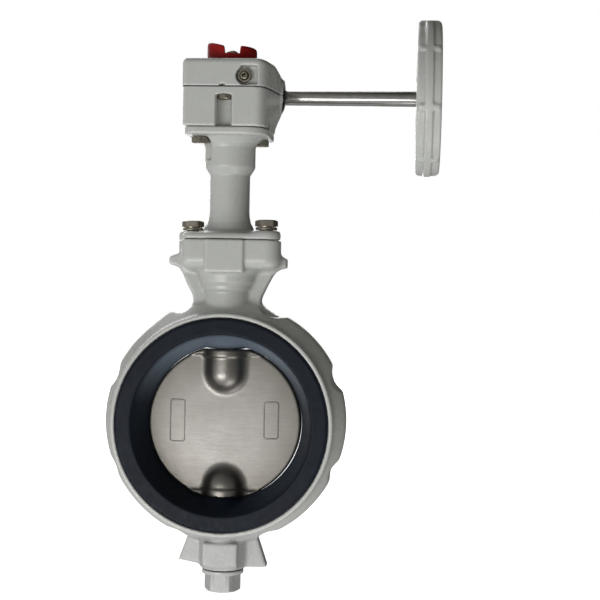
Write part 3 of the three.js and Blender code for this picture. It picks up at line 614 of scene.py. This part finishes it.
def neck_field(x, y, z):
    r = np.hypot(x, y)
    post = outline(r, z, [(-9, 119.5), (18, 119.5), (16.2, 126), (14.2, 130), (13.3, 134), (13.1, 138),
                          (13.1, 160.4), (16.4, 165.6), (16.4, 178.5), (17.4, 181), (20, 183.5), (22, 186),
                          (22, 188.5), (-9, 188.5)])
    plan = join(lug_flange(x, y, 24.3), block_plan(x, y) + 0.7)
    neck_bolts = pair_distances(x, y, NECK_BOLT)
    gear_bolts = pair_distances(x, y, GEAR_BOLT)
    top = NECK_FLANGE_TOP - 1.9 * np.clip((join(*neck_bolts) - 9.5) / 5, 0, 1)
    flange = smooth_max(both(plan + 0.5, span(z, NECK_LOW, 126) + 0.5) - 0.5, z - top, 3.0)
    whole = smooth_min(post, flange, 3.2)
    plate = both(top_flange(x, y) + 0.9, span(z, 185, NECK_TOP) + 0.9) - 0.9
    for low, high in zip(neck_bolts, gear_bolts):
        whole = carve(whole, both(low - 8.5, NECK_FLANGE_TOP - z), 0.8)
        whole = carve(whole, np.maximum(high - 7.7, 170 - z), 0.8)
    whole = smooth_min(whole, plate, 1.6)
    holes = r - STEM_BORE
    for low, high in zip(neck_bolts, gear_bolts):
        holes = join(holes, both(low - NECK_BOLT_HOLE, z - 140), both(high - GEAR_BOLT_HOLE, 170 - z))
    whole = carve(whole, holes)
    return np.maximum(np.maximum(whole, NECK_LOW - z), z - NECK_TOP)


# ---- gear box ----
WORM_Y = 21
WORM_Z = 214.5
STOP_X = 11.4
STOP_Z = 221.8
HOUSING_LOW = 190.1
HOUSING_TOP = 214.9
COVER_LOW = 215.15
CAVITY = 17.4  # room for the worm wheel
COVER_SCREWS = {"front": (-1.4, -23.6), "left": (-23.6, 0), "right": (21.6, -4)}
SCREW_HEADS = {"front": 207, "left": 192, "right": 192}
SCREW_HOLE = 2.8


def bezier(a, b, c, d, steps):
    points = []
    for i in range(1, steps + 1):
        t = i / steps
        s = 1 - t
        shares = (s ** 3, 3 * s * s * t, 3 * s * t * t, t ** 3)
        points.append(tuple(sum(w * p[k] for w, p in zip(shares, (a, b, c, d))) for k in range(2)))
    return points


def gear_box_outline():
    """The gear box from above: flat in front and at left, bulging at right out to the worm."""
    points = [(-26.5, -28), (18, -28)]
    points += bezier((18, -28), (24, -28), (25.5, -22), (27, -14), 8)
    points += bezier((27, -14), (28.5, -6), (31, 2), (31, 12), 8)
    for i in range(7):
        angle = math.pi / 2 * i / 6
        points.append((27 + 4 * math.cos(angle), 28.5 + 4 * math.sin(angle)))
    for i in range(7):
        angle = math.pi / 2 * (1 + i / 6)
        points.append((-24 + 4 * math.cos(angle), 28.5 + 4 * math.sin(angle)))
    return points + [(-28, -26.5)]


def worm_rod(x, y, z, radius, low, high, soft=0.0):
    return rod(y - WORM_Y, z - WORM_Z, x, radius, low, high, soft)


def worm_bores(x, y, z):
    return join(worm_rod(x, y, z, 5.6, -33, 36), worm_rod(x, y, z, 8, -23.5, 23.5),
                worm_rod(x, y, z, 8.6, 28, 36), worm_rod(x, y, z, 8.6, -34, -27.5))


def housing_field(x, y, z):
    wall = both(outline(x, y, gear_box_outline()) + 1.2, span(z, HOUSING_LOW, 216) + 0.7) - 0.7
    under = outline(x, z, [(22, 180), (46, 180), (46, 212), (32.9, 209.5), (31.2, 205), (28.2, 200),
                           (26.2, 195), (25.2, 189.4), (22, 189.4)])
    whole = smooth_min(wall, worm_rod(x, y, z, 11.7, -31, 32.6, 0.7), 2.4)
    whole = carve(whole, under, 2.0)
    pocket = rod(x + 1.4, y + 28, z, 5.4, 170, 209.8, 0.3)
    whole = carve(whole, pocket, 0.7)
    stem = np.hypot(x, y)
    holes = join(both(stem - CAVITY, 206 - z), stem - STEM_HOLE, worm_bores(x, y, z))
    for reach in pair_distances(x, y, GEAR_BOLT):
        holes = join(holes, both(reach - GEAR_BOLT_HOLE, z - 203))
    for name, (cx, cy) in COVER_SCREWS.items():
        hole = np.hypot(x - cx, y - cy)
        holes = join(holes, hole - SCREW_HOLE, both(hole - 4.6, z - SCREW_HEADS[name] - 3.3))
    whole = carve(whole, holes)
    return np.maximum(np.maximum(whole, z - HOUSING_TOP), HOUSING_LOW - z)


def half_plane(u, v, a, b):
    """Distance past the line from a to b, positive on its left."""
    length = math.hypot(b[0] - a[0], b[1] - a[1])
    return ((b[0] - a[0]) * (v - a[1]) - (b[1] - a[1]) * (u - a[0])) / length


def stop_recess(u, v, z):
    """The pocket around a stop screw. u runs along the wall and v into it."""
    shell = np.hypot(u - STOP_X, z - STOP_Z)
    dish = both(shell - 5.3, v + 23.2)
    corner = block(u, v, z, (9.2, -40, 216.2), (19.8, -23.2, 228.2), 1.0)
    return smooth_min(dish, corner, 1.5)


def cover_field(x, y, z):
    top = both(outline(x, y, gear_box_outline()) + 3.6, span(z, 200, 233.1) + 3.6) - 3.6
    top = smooth_max(top, half_plane(x, z, (28.3, 232.2), (33.0, 223.2)), 1.6)
    whole = smooth_min(top, worm_rod(x, y, z, 11.7, -31, 32.6, 0.7), 2.6)
    whole = smooth_min(whole, rod(x, y, z, 17.4, 225, 233.9, 0.4), 1.2)
    whole = carve(whole, stop_recess(x, y, z), 0.9)
    whole = carve(whole, stop_recess(-y, x, z), 0.9)
    whole = carve(whole, block(x, y, z, (-4.1, -30, 214), (-0.7, -26.4, 216.5), 0.3), 0.3)
    stem = np.hypot(x, y)
    holes = join(both(stem - CAVITY, z - 224.5), stem - 8.6, worm_bores(x, y, z))
    holes = join(holes, both(np.hypot(x - STOP_X, z - STOP_Z) - 2.9, y + 10))
    holes = join(holes, both(np.hypot(y + STOP_X, z - STOP_Z) - 2.9, x + 10))
    for cx, cy in COVER_SCREWS.values():
        holes = join(holes, both(np.hypot(x - cx, y - cy) - SCREW_HOLE, z - 222))
    whole = carve(whole, holes)
    return np.maximum(whole, COVER_LOW - z)


# ---- seat and disc ----
HUB_RADIUS = 13.4
DISC_FLAT = 47.7  # the disc's flats meet the seat's pads here


def seat_field(x, y, z):
    r = np.hypot(x, z)
    side = np.abs(y)
    lip = both(span(r, 57.6, 68.3) + 0.8, span(side, 21, 26) + 0.8) - 0.8
    sleeve = outline(r, side, [(62.4, -9), (62.4, 23), (58.6, 25.6), (57.9, 25.2), (56.4, 22), (52.6, 11),
                               (50.8, 5), (50.2, 1.5), (50.2, -9)])
    whole = smooth_min(sleeve, lip, 0.8)
    level = np.abs(z)
    stem = np.hypot(x, y)
    pad = smooth_max((stem - 11 - np.maximum(level - 48.1, 0)) * 0.71, 48.1 - level, 0.8)
    whole = smooth_min(whole, np.maximum(pad, r - 60), 2.0)
    return carve(whole, stem - STEM_HOLE)


def disc_field(x, y, z):
    r = np.hypot(x, z)
    side = np.abs(y)
    plate = outline(r, side, [(-9, -9), (-9, 5.6), (20, 5.4), (48.9, 4.85), (49.6, 4.3), (49.85, 3.6),
                              (49.85, -9)])
    land = both(np.abs(x) - 24 + 0.5, np.maximum(44.6 - np.abs(z), side - 6.0) + 0.5) - 0.5
    whole = smooth_min(plate, np.maximum(land, r - 49.3), 1.8)
    stem = np.hypot(x, y)
    for end, sign in ((19, 1), (-28, -1)):
        centre = end + sign * HUB_RADIUS
        past = np.maximum(sign * (centre - z), 0)
        hub = np.sqrt(stem ** 2 + past ** 2) - HUB_RADIUS
        collar = both(stem - 14.3 + 0.8, sign * (sign * 42.8 - z) + 0.8) - 0.8
        whole = smooth_min(whole, smooth_min(hub, collar, 1.2), 3.6)
    whole = smooth_max(whole, np.abs(z) - DISC_FLAT, 0.7)
    holes = both(np.maximum(stem - STEM_HOLE, side - 5.6), 23.7 - z)
    holes = join(holes, both(stem - STEM_HOLE, z + 32.7))
    return carve(whole, holes)


def mark_frame_mesh(name, low, high, level, facing):
    """A thin raised outline with rounded corners around a blank label field on the disc."""
    path = rounded([(low[0], low[1]), (high[0], low[1]), (high[0], high[1]), (low[0], high[1])], 1.6, 5)
    section = [(-0.46, -0.3), (-0.34, 0.32), (-0.14, 0.5), (0.14, 0.5), (0.34, 0.32), (0.46, -0.3)]
    middle = Vector(((low[0] + high[0]) / 2, (low[1] + high[1]) / 2))
    bm = bmesh.new()
    rings = []
    for i, here in enumerate(path):
        before = Vector(path[i - 1])
        after = Vector(path[(i + 1) % len(path)])
        run = (after - before).normalized()
        outward = Vector((run.y, -run.x))
        ring = []
        for out, up in section:
            spot = Vector(here) + outward * out
            ring.append(bm.verts.new(Vector((spot.x, facing * (level + up), spot.y)) * MM))
        rings.append(ring)
    for i, ring in enumerate(rings):
        bridge(bm, rings[i - 1], ring)
    return finished_mesh(name, bm)


# ---- handwheel and cap ----
WHEEL_X = 128
WHEEL_RADIUS = 51
WHEEL_HALF = 8
PIN_HOLE = 2.3


def wheel_field(x, y, z):
    """The handwheel: rim with eight pairs of grip pockets, three spokes, and a hub with its pin hole."""
    a = x - WHEEL_X
    v = y - WORM_Y
    w = z - WORM_Z
    r = np.hypot(v, w)
    whole = both(span(r, 40.5, WHEEL_RADIUS) + 3.2, np.abs(a) - WHEEL_HALF + 3.2) - 3.2
    hub = rod(v, w, a, 12, -WHEEL_HALF, WHEEL_HALF, 1.2)
    angle = np.arctan2(w, -v)
    sector = math.radians(45)
    turn = np.abs(np.mod(angle - math.radians(9) + sector / 2, sector) - sector / 2)
    pocket = smooth_max(np.maximum(49.6 - r, 2.6 - np.abs(a)), turn * 50 - 17.9, 1.5)
    whole = carve(whole, pocket, 1.0)
    for i in range(3):
        lean = math.radians(90 + 120 * i)
        along = -w * math.cos(lean) + v * math.sin(lean)
        across = np.abs(v * math.cos(lean) + w * math.sin(lean))
        plan = np.maximum(across - 7 + along * 0.05, span(along, 5, 43))
        spoke = both(plan + 2.4, np.abs(a) - 3.5 + 2.4) - 2.4
        hub = smooth_min(hub, spoke, 3.0)
    whole = smooth_min(whole, hub, 3.0)
    whole = carve(whole, r - 5.3, 0.4)
    return carve(whole, both(np.hypot(a + 4, v) - PIN_HOLE, np.abs(w) - 14), 0.4)


def cap_field(x, y, z):
    knob = rod(x, y, z, 16.2, 234.4, 249, 0.4)
    knob = smooth_max(knob, np.where(x < -2, (z - 242 + 0.3125 * x) / 1.048, z - 243.3), 2.6)
    turn = math.radians(8)
    across = x * math.cos(turn) + y * math.sin(turn)
    slot = np.maximum(np.abs(across) - 4.6 - (z - 238.2) * 0.1, 238.2 - z)
    knob = carve(knob, slot, 1.3)
    holes = join(both(np.hypot(x, y) - 5.3, z - 236.7), np.hypot(x, y) - 2.3)
    return carve(knob, holes)


# ---- turned and hexagonal pieces ----
FACET_STEPS = 72
FACET_ANGLE = 28
CAP_TURN = math.radians(-62)


def hexagon_radius(angle, flats, turn):
    """How far a hexagon's side is from its centre at an angle, its corners a little blunted."""
    sixth = math.pi / 3
    away = (angle - turn) % sixth - sixth / 2
    return min(flats / 2 / math.cos(away), 0.985 * flats / 2 / math.cos(sixth / 2))


def bolt_profile(angle, turn, length, flats=13, top=4.5, shank=4):
    wide = hexagon_radius(angle, flats, turn)
    flat_top = flats * 0.465
    drop = (wide - flat_top) * math.tan(math.radians(30))
    return [(0, top), (flat_top - 0.15, top), (flat_top, top - 0.05), (wide - 0.1, top - drop),
            (wide, top - drop - 0.12), (wide, 0.5), (wide - 0.12, 0.36), (flats * 0.47, 0.33),
            (flat_top, 0), (shank, 0), (shank, 1 - length), (shank - 0.8, -length), (0, -length)]


def gear_bolt_profile(angle, turn):
    """The smaller bolt that is driven upward from below."""
    return [(r, -h) for r, h in bolt_profile(angle, turn, 16, 11, 4.3, 3.5)]


def nut_profile(angle):
    wide = hexagon_radius(angle, 8, 0)
    low = -27.2
    high = -23.5
    drop = (wide - 3.8) * math.tan(math.radians(30))
    return [(2.8, low + 0.4), (3.1, low), (3.8, low), (wide - 0.08, low + drop), (wide, low + drop + 0.1),
            (wide, high - drop - 0.1), (wide - 0.08, high - drop), (3.8, high), (3.1, high),
            (2.8, high - 0.4)]


def stop_screw_profile(angle):
    socket = hexagon_radius(angle, 2.5, 0.3)
    return [(0, -22.1), (socket * 0.9, -22.3), (socket, -22.5), (socket, -28.8), (socket + 0.2, -29),
            (1.95, -29), (2.05, -28.95), (2.46, -28.45), (2.5, -28.2), (2.5, -15.5), (2.1, -15), (0, -15)]


def socket_screw_profile(angle, head, top):
    socket = hexagon_radius(angle, 4, 0)
    return [(0, head + 1.6), (socket * 0.95, head + 1.9), (socket, head + 1.8), (socket, head + 0.2),
            (socket + 0.2, head), (3.5, head), (3.9, head + 0.15), (4.2, head + 0.6), (4.2, head + 3),
            (2.5, head + 3), (2.5, top - 0.5), (2, top), (0, top)]


def cap_profile(angle):
    wide = hexagon_radius(angle, 21, CAP_TURN)
    drop = (wide - 10.2) * math.tan(math.radians(30))
    return [(0, -110), (10.0, -110), (10.2, -109.95), (wide - 0.15, -110 + drop), (wide, -109.8 + drop),
            (wide, -99.1), (wide + 0.2, -98.75), (12.9, -98.6), (13.4, -98.4), (13.6, -98), (13.6, -96.4),
            (13.2, -95.95), (11.1, -95.9), (11.1, -94.3), (10.8, -94), (0, -94)]


def facetted_mesh(name, profile_at, axis, centre, start):
    """A closed solid whose outline may change with the angle around its axis."""
    turn = AXIS_TURNS[axis]
    bm = bmesh.new()
    columns = []
    tips = {}
    for i in range(FACET_STEPS):
        angle = start + math.tau * i / FACET_STEPS
        column = []
        for k, (radius, height) in enumerate(profile_at(angle)):
            if radius == 0 and k in tips:
                column.append(tips[k])
                continue
            spot = Vector((radius * math.cos(angle), radius * math.sin(angle), height))
            vert = bm.verts.new((turn @ spot + Vector(centre)) * MM)
            if radius == 0:
                tips[k] = vert
            column.append(vert)
        columns.append(column)
    closed = not tips
    for i, column in enumerate(columns):
        other = columns[i - 1]
        for k in range(0 if closed else 1, len(column)):
            face = list(dict.fromkeys((other[k - 1], column[k - 1], column[k], other[k])))
            if len(face) > 2:
                bm.faces.new(face)
    return finished_mesh(name, bm)


def facetted_piece(name, profile_at, axis, centre, body, nodes, slot, start=0.0):
    mesh = facetted_mesh(name, profile_at, axis, centre, start)
    finish_piece(name, mesh, body, nodes, slot, FACET_ANGLE)


def spring_washer_mesh(name, centre):
    """A split ring of square wire, its ends a little out of line."""
    bm = bmesh.new()
    section = rounded([(4.35, 0.05), (6.9, 0.05), (6.9, 1.75), (4.35, 1.75)], 0.25, 2)
    steps = 60
    rings = []
    for i in range(steps + 1):
        angle = math.radians(7 + 346 * i / steps)
        rise = 0.12 * i / steps
        ring = []
        for radius, height in section:
            spot = Vector((radius * math.cos(angle), radius * math.sin(angle), height + rise))
            ring.append(bm.verts.new((spot + Vector(centre)) * MM))
        rings.append(ring)
    for a, b in zip(rings, rings[1:]):
        bridge(bm, a, b)
    bm.faces.new(rings[0])
    bm.faces.new(rings[-1])
    return finished_mesh(name, bm)


def worm_shaft_mesh(name):
    """The worm shaft: a round bar with the worm's thread wound on its middle."""
    root = 4.375
    end = 134.5
    profile = [(0, -27), (4.4, -27), (5, -26.4), (5, -14), (root, -12.8), (root, 12.8), (5, 14), (5, end - 1),
               (4.2, end), (0, end)]
    mesh = lathe_mesh(name, profile, "X", (0, WORM_Y, WORM_Z), 96)
    bm = bmesh.new()
    bm.from_mesh(mesh)
    section = [(root - 0.5, -1.15), (7.1, -0.45), (7.19, -0.3), (7.19, 0.3), (7.1, 0.45), (root - 0.5, 1.15)]
    steps = 36
    turns = 4
    rings = []
    for i in range(steps * turns + 1):
        around = i / steps - turns / 2
        angle = math.pi + math.tau * around
        ring = []
        for radius, along in section:
            spot = Vector((1.25 * math.pi * around + along, WORM_Y + radius * math.cos(angle),
                           WORM_Z + radius * math.sin(angle)))
            ring.append(bm.verts.new(spot * MM))
        rings.append(ring)
    thread = []
    for a, b in zip(rings, rings[1:]):
        thread += bridge(bm, a, b)
    thread.append(bm.faces.new(rings[0]))
    thread.append(bm.faces.new(rings[-1]))
    bmesh.ops.recalc_face_normals(bm, faces=thread)
    bm.to_mesh(mesh)
    bm.free()
    return mesh


CASTINGS = (
    ("body_casting", body_field, (-79, -28.5, -95), (79, 28.5, 118.4), 1.15, "valve_body", "body", "paint"),
    ("neck_casting", neck_field, (-36, -28, 118.7), (36, 28, 189.8), 0.95, "valve_body", "neck_column",
     "paint"),
    ("gear_housing_casting", housing_field, (-32, -29, 190.1), (33, 33, 214.9), 0.75, "valve_body",
     "gear_housing", "paint"),
    ("gear_cover_casting", cover_field, (-32, -29, 215.15), (33, 33, 234), 0.75, "valve_body",
     "gear_cover", "paint"),
    ("seat_liner", seat_field, (-68.3, -26, -68.3), (68.3, 26, 68.3), 1.2, "valve_body", "seat_ring",
     "seat_rubber"),
    ("disc_plate", disc_field, (-50, -15, -47.7), (50, 15, 47.7), 0.9, "disc_train", "disc", "disc_steel"),
    ("handwheel_casting", wheel_field, (119.5, -30.5, 163), (136.5, 72.5, 266), 0.95, "handwheel_train",
     "handwheel", "paint"),
    ("cap_moulding", cap_field, (-16.5, -16.5, 234.2), (16.5, 16.5, 247.2), 0.45, "disc_train",
     "indicator_cap", "red_plastic"),
)


def add_castings():
    for name, field, low, high, voxel, body, node, slot in CASTINGS:
        field_piece(name, field, low, high, voxel, body, [node], slot)


def add_marks():
    for name, low, high in (("left", (-35.5, -12.9), (-26.1, 14.2)), ("right", (25.9, -9.8), (35.1, 13.9))):
        for side, facing in (("front", -1), ("rear", 1)):
            piece = f"mark_frame_{name}_{side}"
            mesh = mark_frame_mesh(piece, low, high, 5.12, facing)
            finish_piece(piece, mesh, "disc_train", ["disc"], "disc_steel", 40)


def add_fasteners():
    for name, x, y, turn in (("right", *NECK_BOLT, 0.2), ("left", -NECK_BOLT[0], -NECK_BOLT[1], 0.05)):
        facetted_piece(f"neck_bolt_{name}_hex", lambda a, t=turn: bolt_profile(a, t, 20), "Z", (x, y, 127),
                       "valve_body", [f"neck_bolt_{name}"], "fastener_steel", turn)
        mesh = spring_washer_mesh(f"neck_washer_{name}_split", (x, y, 124.9))
        finish_piece(f"neck_washer_{name}_split", mesh, "valve_body", [f"neck_washer_{name}"],
                     "fastener_steel", 35)
    turn = math.pi / 6
    for name, sign in (("front", 1), ("rear", -1)):
        facetted_piece(f"gear_bolt_{name}_hex", lambda a: gear_bolt_profile(a, turn), "Z",
                       (sign * GEAR_BOLT[0], sign * GEAR_BOLT[1], 184.9), "valve_body",
                       [f"gear_bolt_{name}"], "fastener_steel", turn)
    for name, axis, centre in (("closed", "Y", (STOP_X, 0, STOP_Z)), ("open", "X", (0, -STOP_X, STOP_Z))):
        facetted_piece(f"stop_nut_{name}_hex", nut_profile, axis, centre, "valve_body", [f"stop_nut_{name}"],
                       "fastener_steel")
        facetted_piece(f"stop_screw_{name}_socket", stop_screw_profile, axis, centre, "valve_body",
                       [f"stop_screw_{name}"], "fastener_steel", 0.3)
    for name, top in (("front", 221.5), ("left", 221), ("right", 221)):
        head = SCREW_HEADS[name]
        facetted_piece(f"cover_screw_{name}_socket", lambda a, h=head, t=top: socket_screw_profile(a, h, t),
                       "Z", (*COVER_SCREWS[name], 0), "valve_body", [f"cover_screw_{name}"], "fastener_steel")
    facetted_piece("bottom_cap_hex", cap_profile, "Z", (0, 0, 0), "valve_body", ["bottom_cap"], "paint",
                   CAP_TURN)


def add_turned_pieces():
    finish_piece("worm_shaft_bar", worm_shaft_mesh("worm_shaft_bar"), "handwheel_train", ["worm_shaft"],
                 "bright_steel", 35)
    pin = rounded([(0, -11.5), (2, -11.5), (2, 11.5), (0, 11.5)], [0, 0.4, 0.4, 0], 3, closed=False)
    lathe_piece("wheel_pin_dowel", pin, "Z", (WHEEL_X - 4, WORM_Y, WORM_Z), "handwheel_train", ["wheel_pin"],
                "fastener_steel", 40)
    gasket = rounded([(11.5, -95.75), (13.35, -95.75), (13.35, -95.15), (11.5, -95.15)], 0.1, 3)
    lathe_piece("bottom_cap_gasket_ring", gasket, "Z", (0, 0, 0), "valve_body", ["bottom_cap_gasket"],
                "seal_rubber", closed=True)
    seal = rounded([(5.3, 28.4), (8.25, 28.4), (8.25, 31.9), (7.2, 31.9), (6.6, 31.2), (5.9, 31.2),
                    (5.3, 32)], 0.3, 3)
    lathe_piece("shaft_seal_lip", seal, "X", (0, WORM_Y, WORM_Z), "valve_body", ["shaft_seal"], "seal_rubber",
                72, True)
    plug = rounded([(0, -29.6), (3.2, -29.6), (3.6, -30.5), (8.25, -30.5), (8.25, -28.1), (0, -28.1)],
                   [0, 0.4, 0.3, 0.5, 0.2, 0], 3, closed=False)
    lathe_piece("worm_end_plug_disc", plug, "X", (0, WORM_Y, WORM_Z), "valve_body", ["worm_end_plug"],
                "fastener_steel", 72)


def screw_field(x, y, z):
    """The indicator's slotted screw."""
    head = smooth_max(rod(x, y, z, 3.9, 238.3, 242.3, 0.3), ball(x, y, z, (0, 0, 236.6), 5.7), 0.3)
    return carve(join(head, rod(x, y, z, 2, 229.5, 239)), np.maximum(np.abs(y) - 0.5, 241 - z))


GASKET_END = 11.8  # the gasket stops here, in front of the worm
GASKET_INNER = 18.6


def gasket_rings():
    """The gasket between housing and cover: open around the wheel and the worm, with its screw holes."""
    wall = [(x * 0.999, y * 0.999) for x, y in gear_box_outline()]
    outer = []
    for i, (x, y) in enumerate(wall):
        last_x, last_y = wall[i - 1]
        if (y < GASKET_END) != (last_y < GASKET_END):
            share = (GASKET_END - last_y) / (y - last_y)
            outer.append((last_x + share * (x - last_x), GASKET_END))
        if y < GASKET_END:
            outer.append((x, y))
    start = next(i for i in range(len(outer)) if outer[i][1] == GASKET_END == outer[i - 1][1])
    outer = outer[start:] + outer[:start]
    reach = 180 - 2 * math.degrees(math.asin(GASKET_END / GASKET_INNER))
    arc = [math.radians(90 - reach / 2 - (360 - reach) * i / 44) for i in range(45)]
    if outer[-1][0] < 0:
        arc.reverse()
    rings = [outer + [(GASKET_INNER * math.cos(t), GASKET_INNER * math.sin(t)) for t in arc]]
    for cx, cy in COVER_SCREWS.values():
        turns = [math.tau * i / 24 for i in range(24)]
        rings.append([(cx + SCREW_HOLE * math.cos(t), cy + SCREW_HOLE * math.sin(t)) for t in turns])
    return rings


def gasket_mesh(name):
    bm = bmesh.new()
    rings = gasket_rings()
    levels = [[[bm.verts.new((x * MM, y * MM, z * MM)) for x, y in ring] for ring in rings]
              for z in (214.92, 215.13)]
    for low, high in zip(*levels):
        bridge(bm, low, high)
    for level in levels:
        edges = []
        for ring in level:
            edges += [bm.edges.get((ring[i - 1], ring[i])) for i in range(len(ring))]
        bmesh.ops.triangle_fill(bm, use_beauty=True, edges=edges)
    return finished_mesh(name, bm)


def add_small_pieces():
    field_piece("indicator_screw_head", screw_field, (-4, -4, 229.4), (4, 4, 242.4), 0.2, "disc_train",
                ["indicator_screw"], "fastener_steel")
    finish_piece("cover_gasket_sheet", gasket_mesh("cover_gasket_sheet"), "valve_body", ["cover_gasket"],
                 "seal_rubber", 40)


add_small_pieces()
add_castings()
add_marks()
add_fasteners()
add_turned_pieces()


# ---- camera, light and floor ----
def add_camera():
    data = bpy.data.cameras.new("camera")
    data.sensor_width = 36
    data.lens = 78.66
    yaw = math.radians(4.5)
    pitch = math.radians(-0.72)
    roll = math.radians(1.11)
    forward = Vector((-math.sin(yaw) * math.cos(pitch), math.cos(yaw) * math.cos(pitch), math.sin(pitch)))
    level = forward.cross(Vector((0, 0, 1))).normalized()
    rise = level.cross(forward)
    right = math.cos(roll) * level + math.sin(roll) * rise
    up = math.cos(roll) * rise - math.sin(roll) * level
    place = Vector((114.23, -850.15, 91.27)) * MM
    camera = bpy.data.objects.new("camera", data)
    turned = Matrix((right, up, -forward)).transposed().to_4x4()
    camera.matrix_world = Matrix.Translation(place) @ turned
    bpy.context.scene.collection.objects.link(camera)
    bpy.context.scene.camera = camera


def area_light(name, place, target, size, power):
    data = bpy.data.lights.new(name, "AREA")
    data.shape = "RECTANGLE"
    data.size = size[0]
    data.size_y = size[1]
    data.energy = power
    light = bpy.data.objects.new(name, data)
    light.location = place
    aim = Vector(target) - Vector(place)
    light.rotation_euler = aim.to_track_quat("-Z", "Y").to_euler()
    light.visible_camera = False
    bpy.context.scene.collection.objects.link(light)


def add_studio():
    scene = bpy.context.scene
    scene.view_settings.view_transform = "Standard"
    world = bpy.data.worlds.new("studio")
    scene.world = world
    world.use_nodes = True
    tree = world.node_tree
    tree.nodes.clear()
    new = tree.nodes.new
    link = tree.links.new
    output = new("ShaderNodeOutputWorld")
    seen = new("ShaderNodeBackground")
    seen.inputs["Color"].default_value = (1, 1, 1, 1)
    lighting = new("ShaderNodeBackground")
    lighting.inputs["Strength"].default_value = 0.62
    place = new("ShaderNodeTexCoord")
    facing = new("ShaderNodeVectorMath")
    facing.operation = "DOT_PRODUCT"
    facing.inputs[1].default_value = Vector((-0.5, -0.45, -0.74)).normalized()
    link(place.outputs["Generated"], facing.inputs[0])
    ramp = new("ShaderNodeValToRGB")
    ramp.color_ramp.elements[0].color = (0.045, 0.042, 0.024, 1)
    spread = new("ShaderNodeMapRange")
    spread.inputs["From Min"].default_value = -0.8
    spread.inputs["From Max"].default_value = 0.9
    link(facing.outputs["Value"], spread.inputs["Value"])
    link(spread.outputs["Result"], ramp.inputs["Fac"])
    link(ramp.outputs["Color"], lighting.inputs["Color"])
    path = new("ShaderNodeLightPath")
    mix = new("ShaderNodeMixShader")
    link(path.outputs["Is Camera Ray"], mix.inputs["Fac"])
    link(lighting.outputs["Background"], mix.inputs[1])
    link(seen.outputs["Background"], mix.inputs[2])
    link(mix.outputs["Shader"], output.inputs["Surface"])
    area_light("key", (-0.85, -2.1, -0.8), (0, 0, 0.1), (1.7, 0.8), 29)
    area_light("low", (0.36, -0.3, -0.8), (0.03, 0, -0.03), (0.6, 0.6), 2.2)
    area_light("back", (-0.5, 1.6, 0.5), (0, 0, 0.08), (1.2, 1.2), 14)
    area_light("above", (-0.6, 1.0, 1.4), (0, 0, 0.08), (1.2, 1.2), 7)


def add_floor():
    bpy.ops.mesh.primitive_plane_add(size=8, location=(0, 0, cad_box[0][2] - 0.0002))
    floor = bpy.context.object
    floor.name = "floor"
    material, shader = new_material("pale_floor")
    shader.inputs["Base Color"].default_value = (0.9, 0.9, 0.9, 1)
    shader.inputs["Roughness"].default_value = 0.9
    shader.inputs["Emission Color"].default_value = (1, 1, 1, 1)
    shader.inputs["Emission Strength"].default_value = 0.9
    floor.data.materials.append(material)
    floor.visible_diffuse = False
    floor.visible_glossy = False
    floor.visible_shadow = False


add_camera()
add_studio()
add_floor()
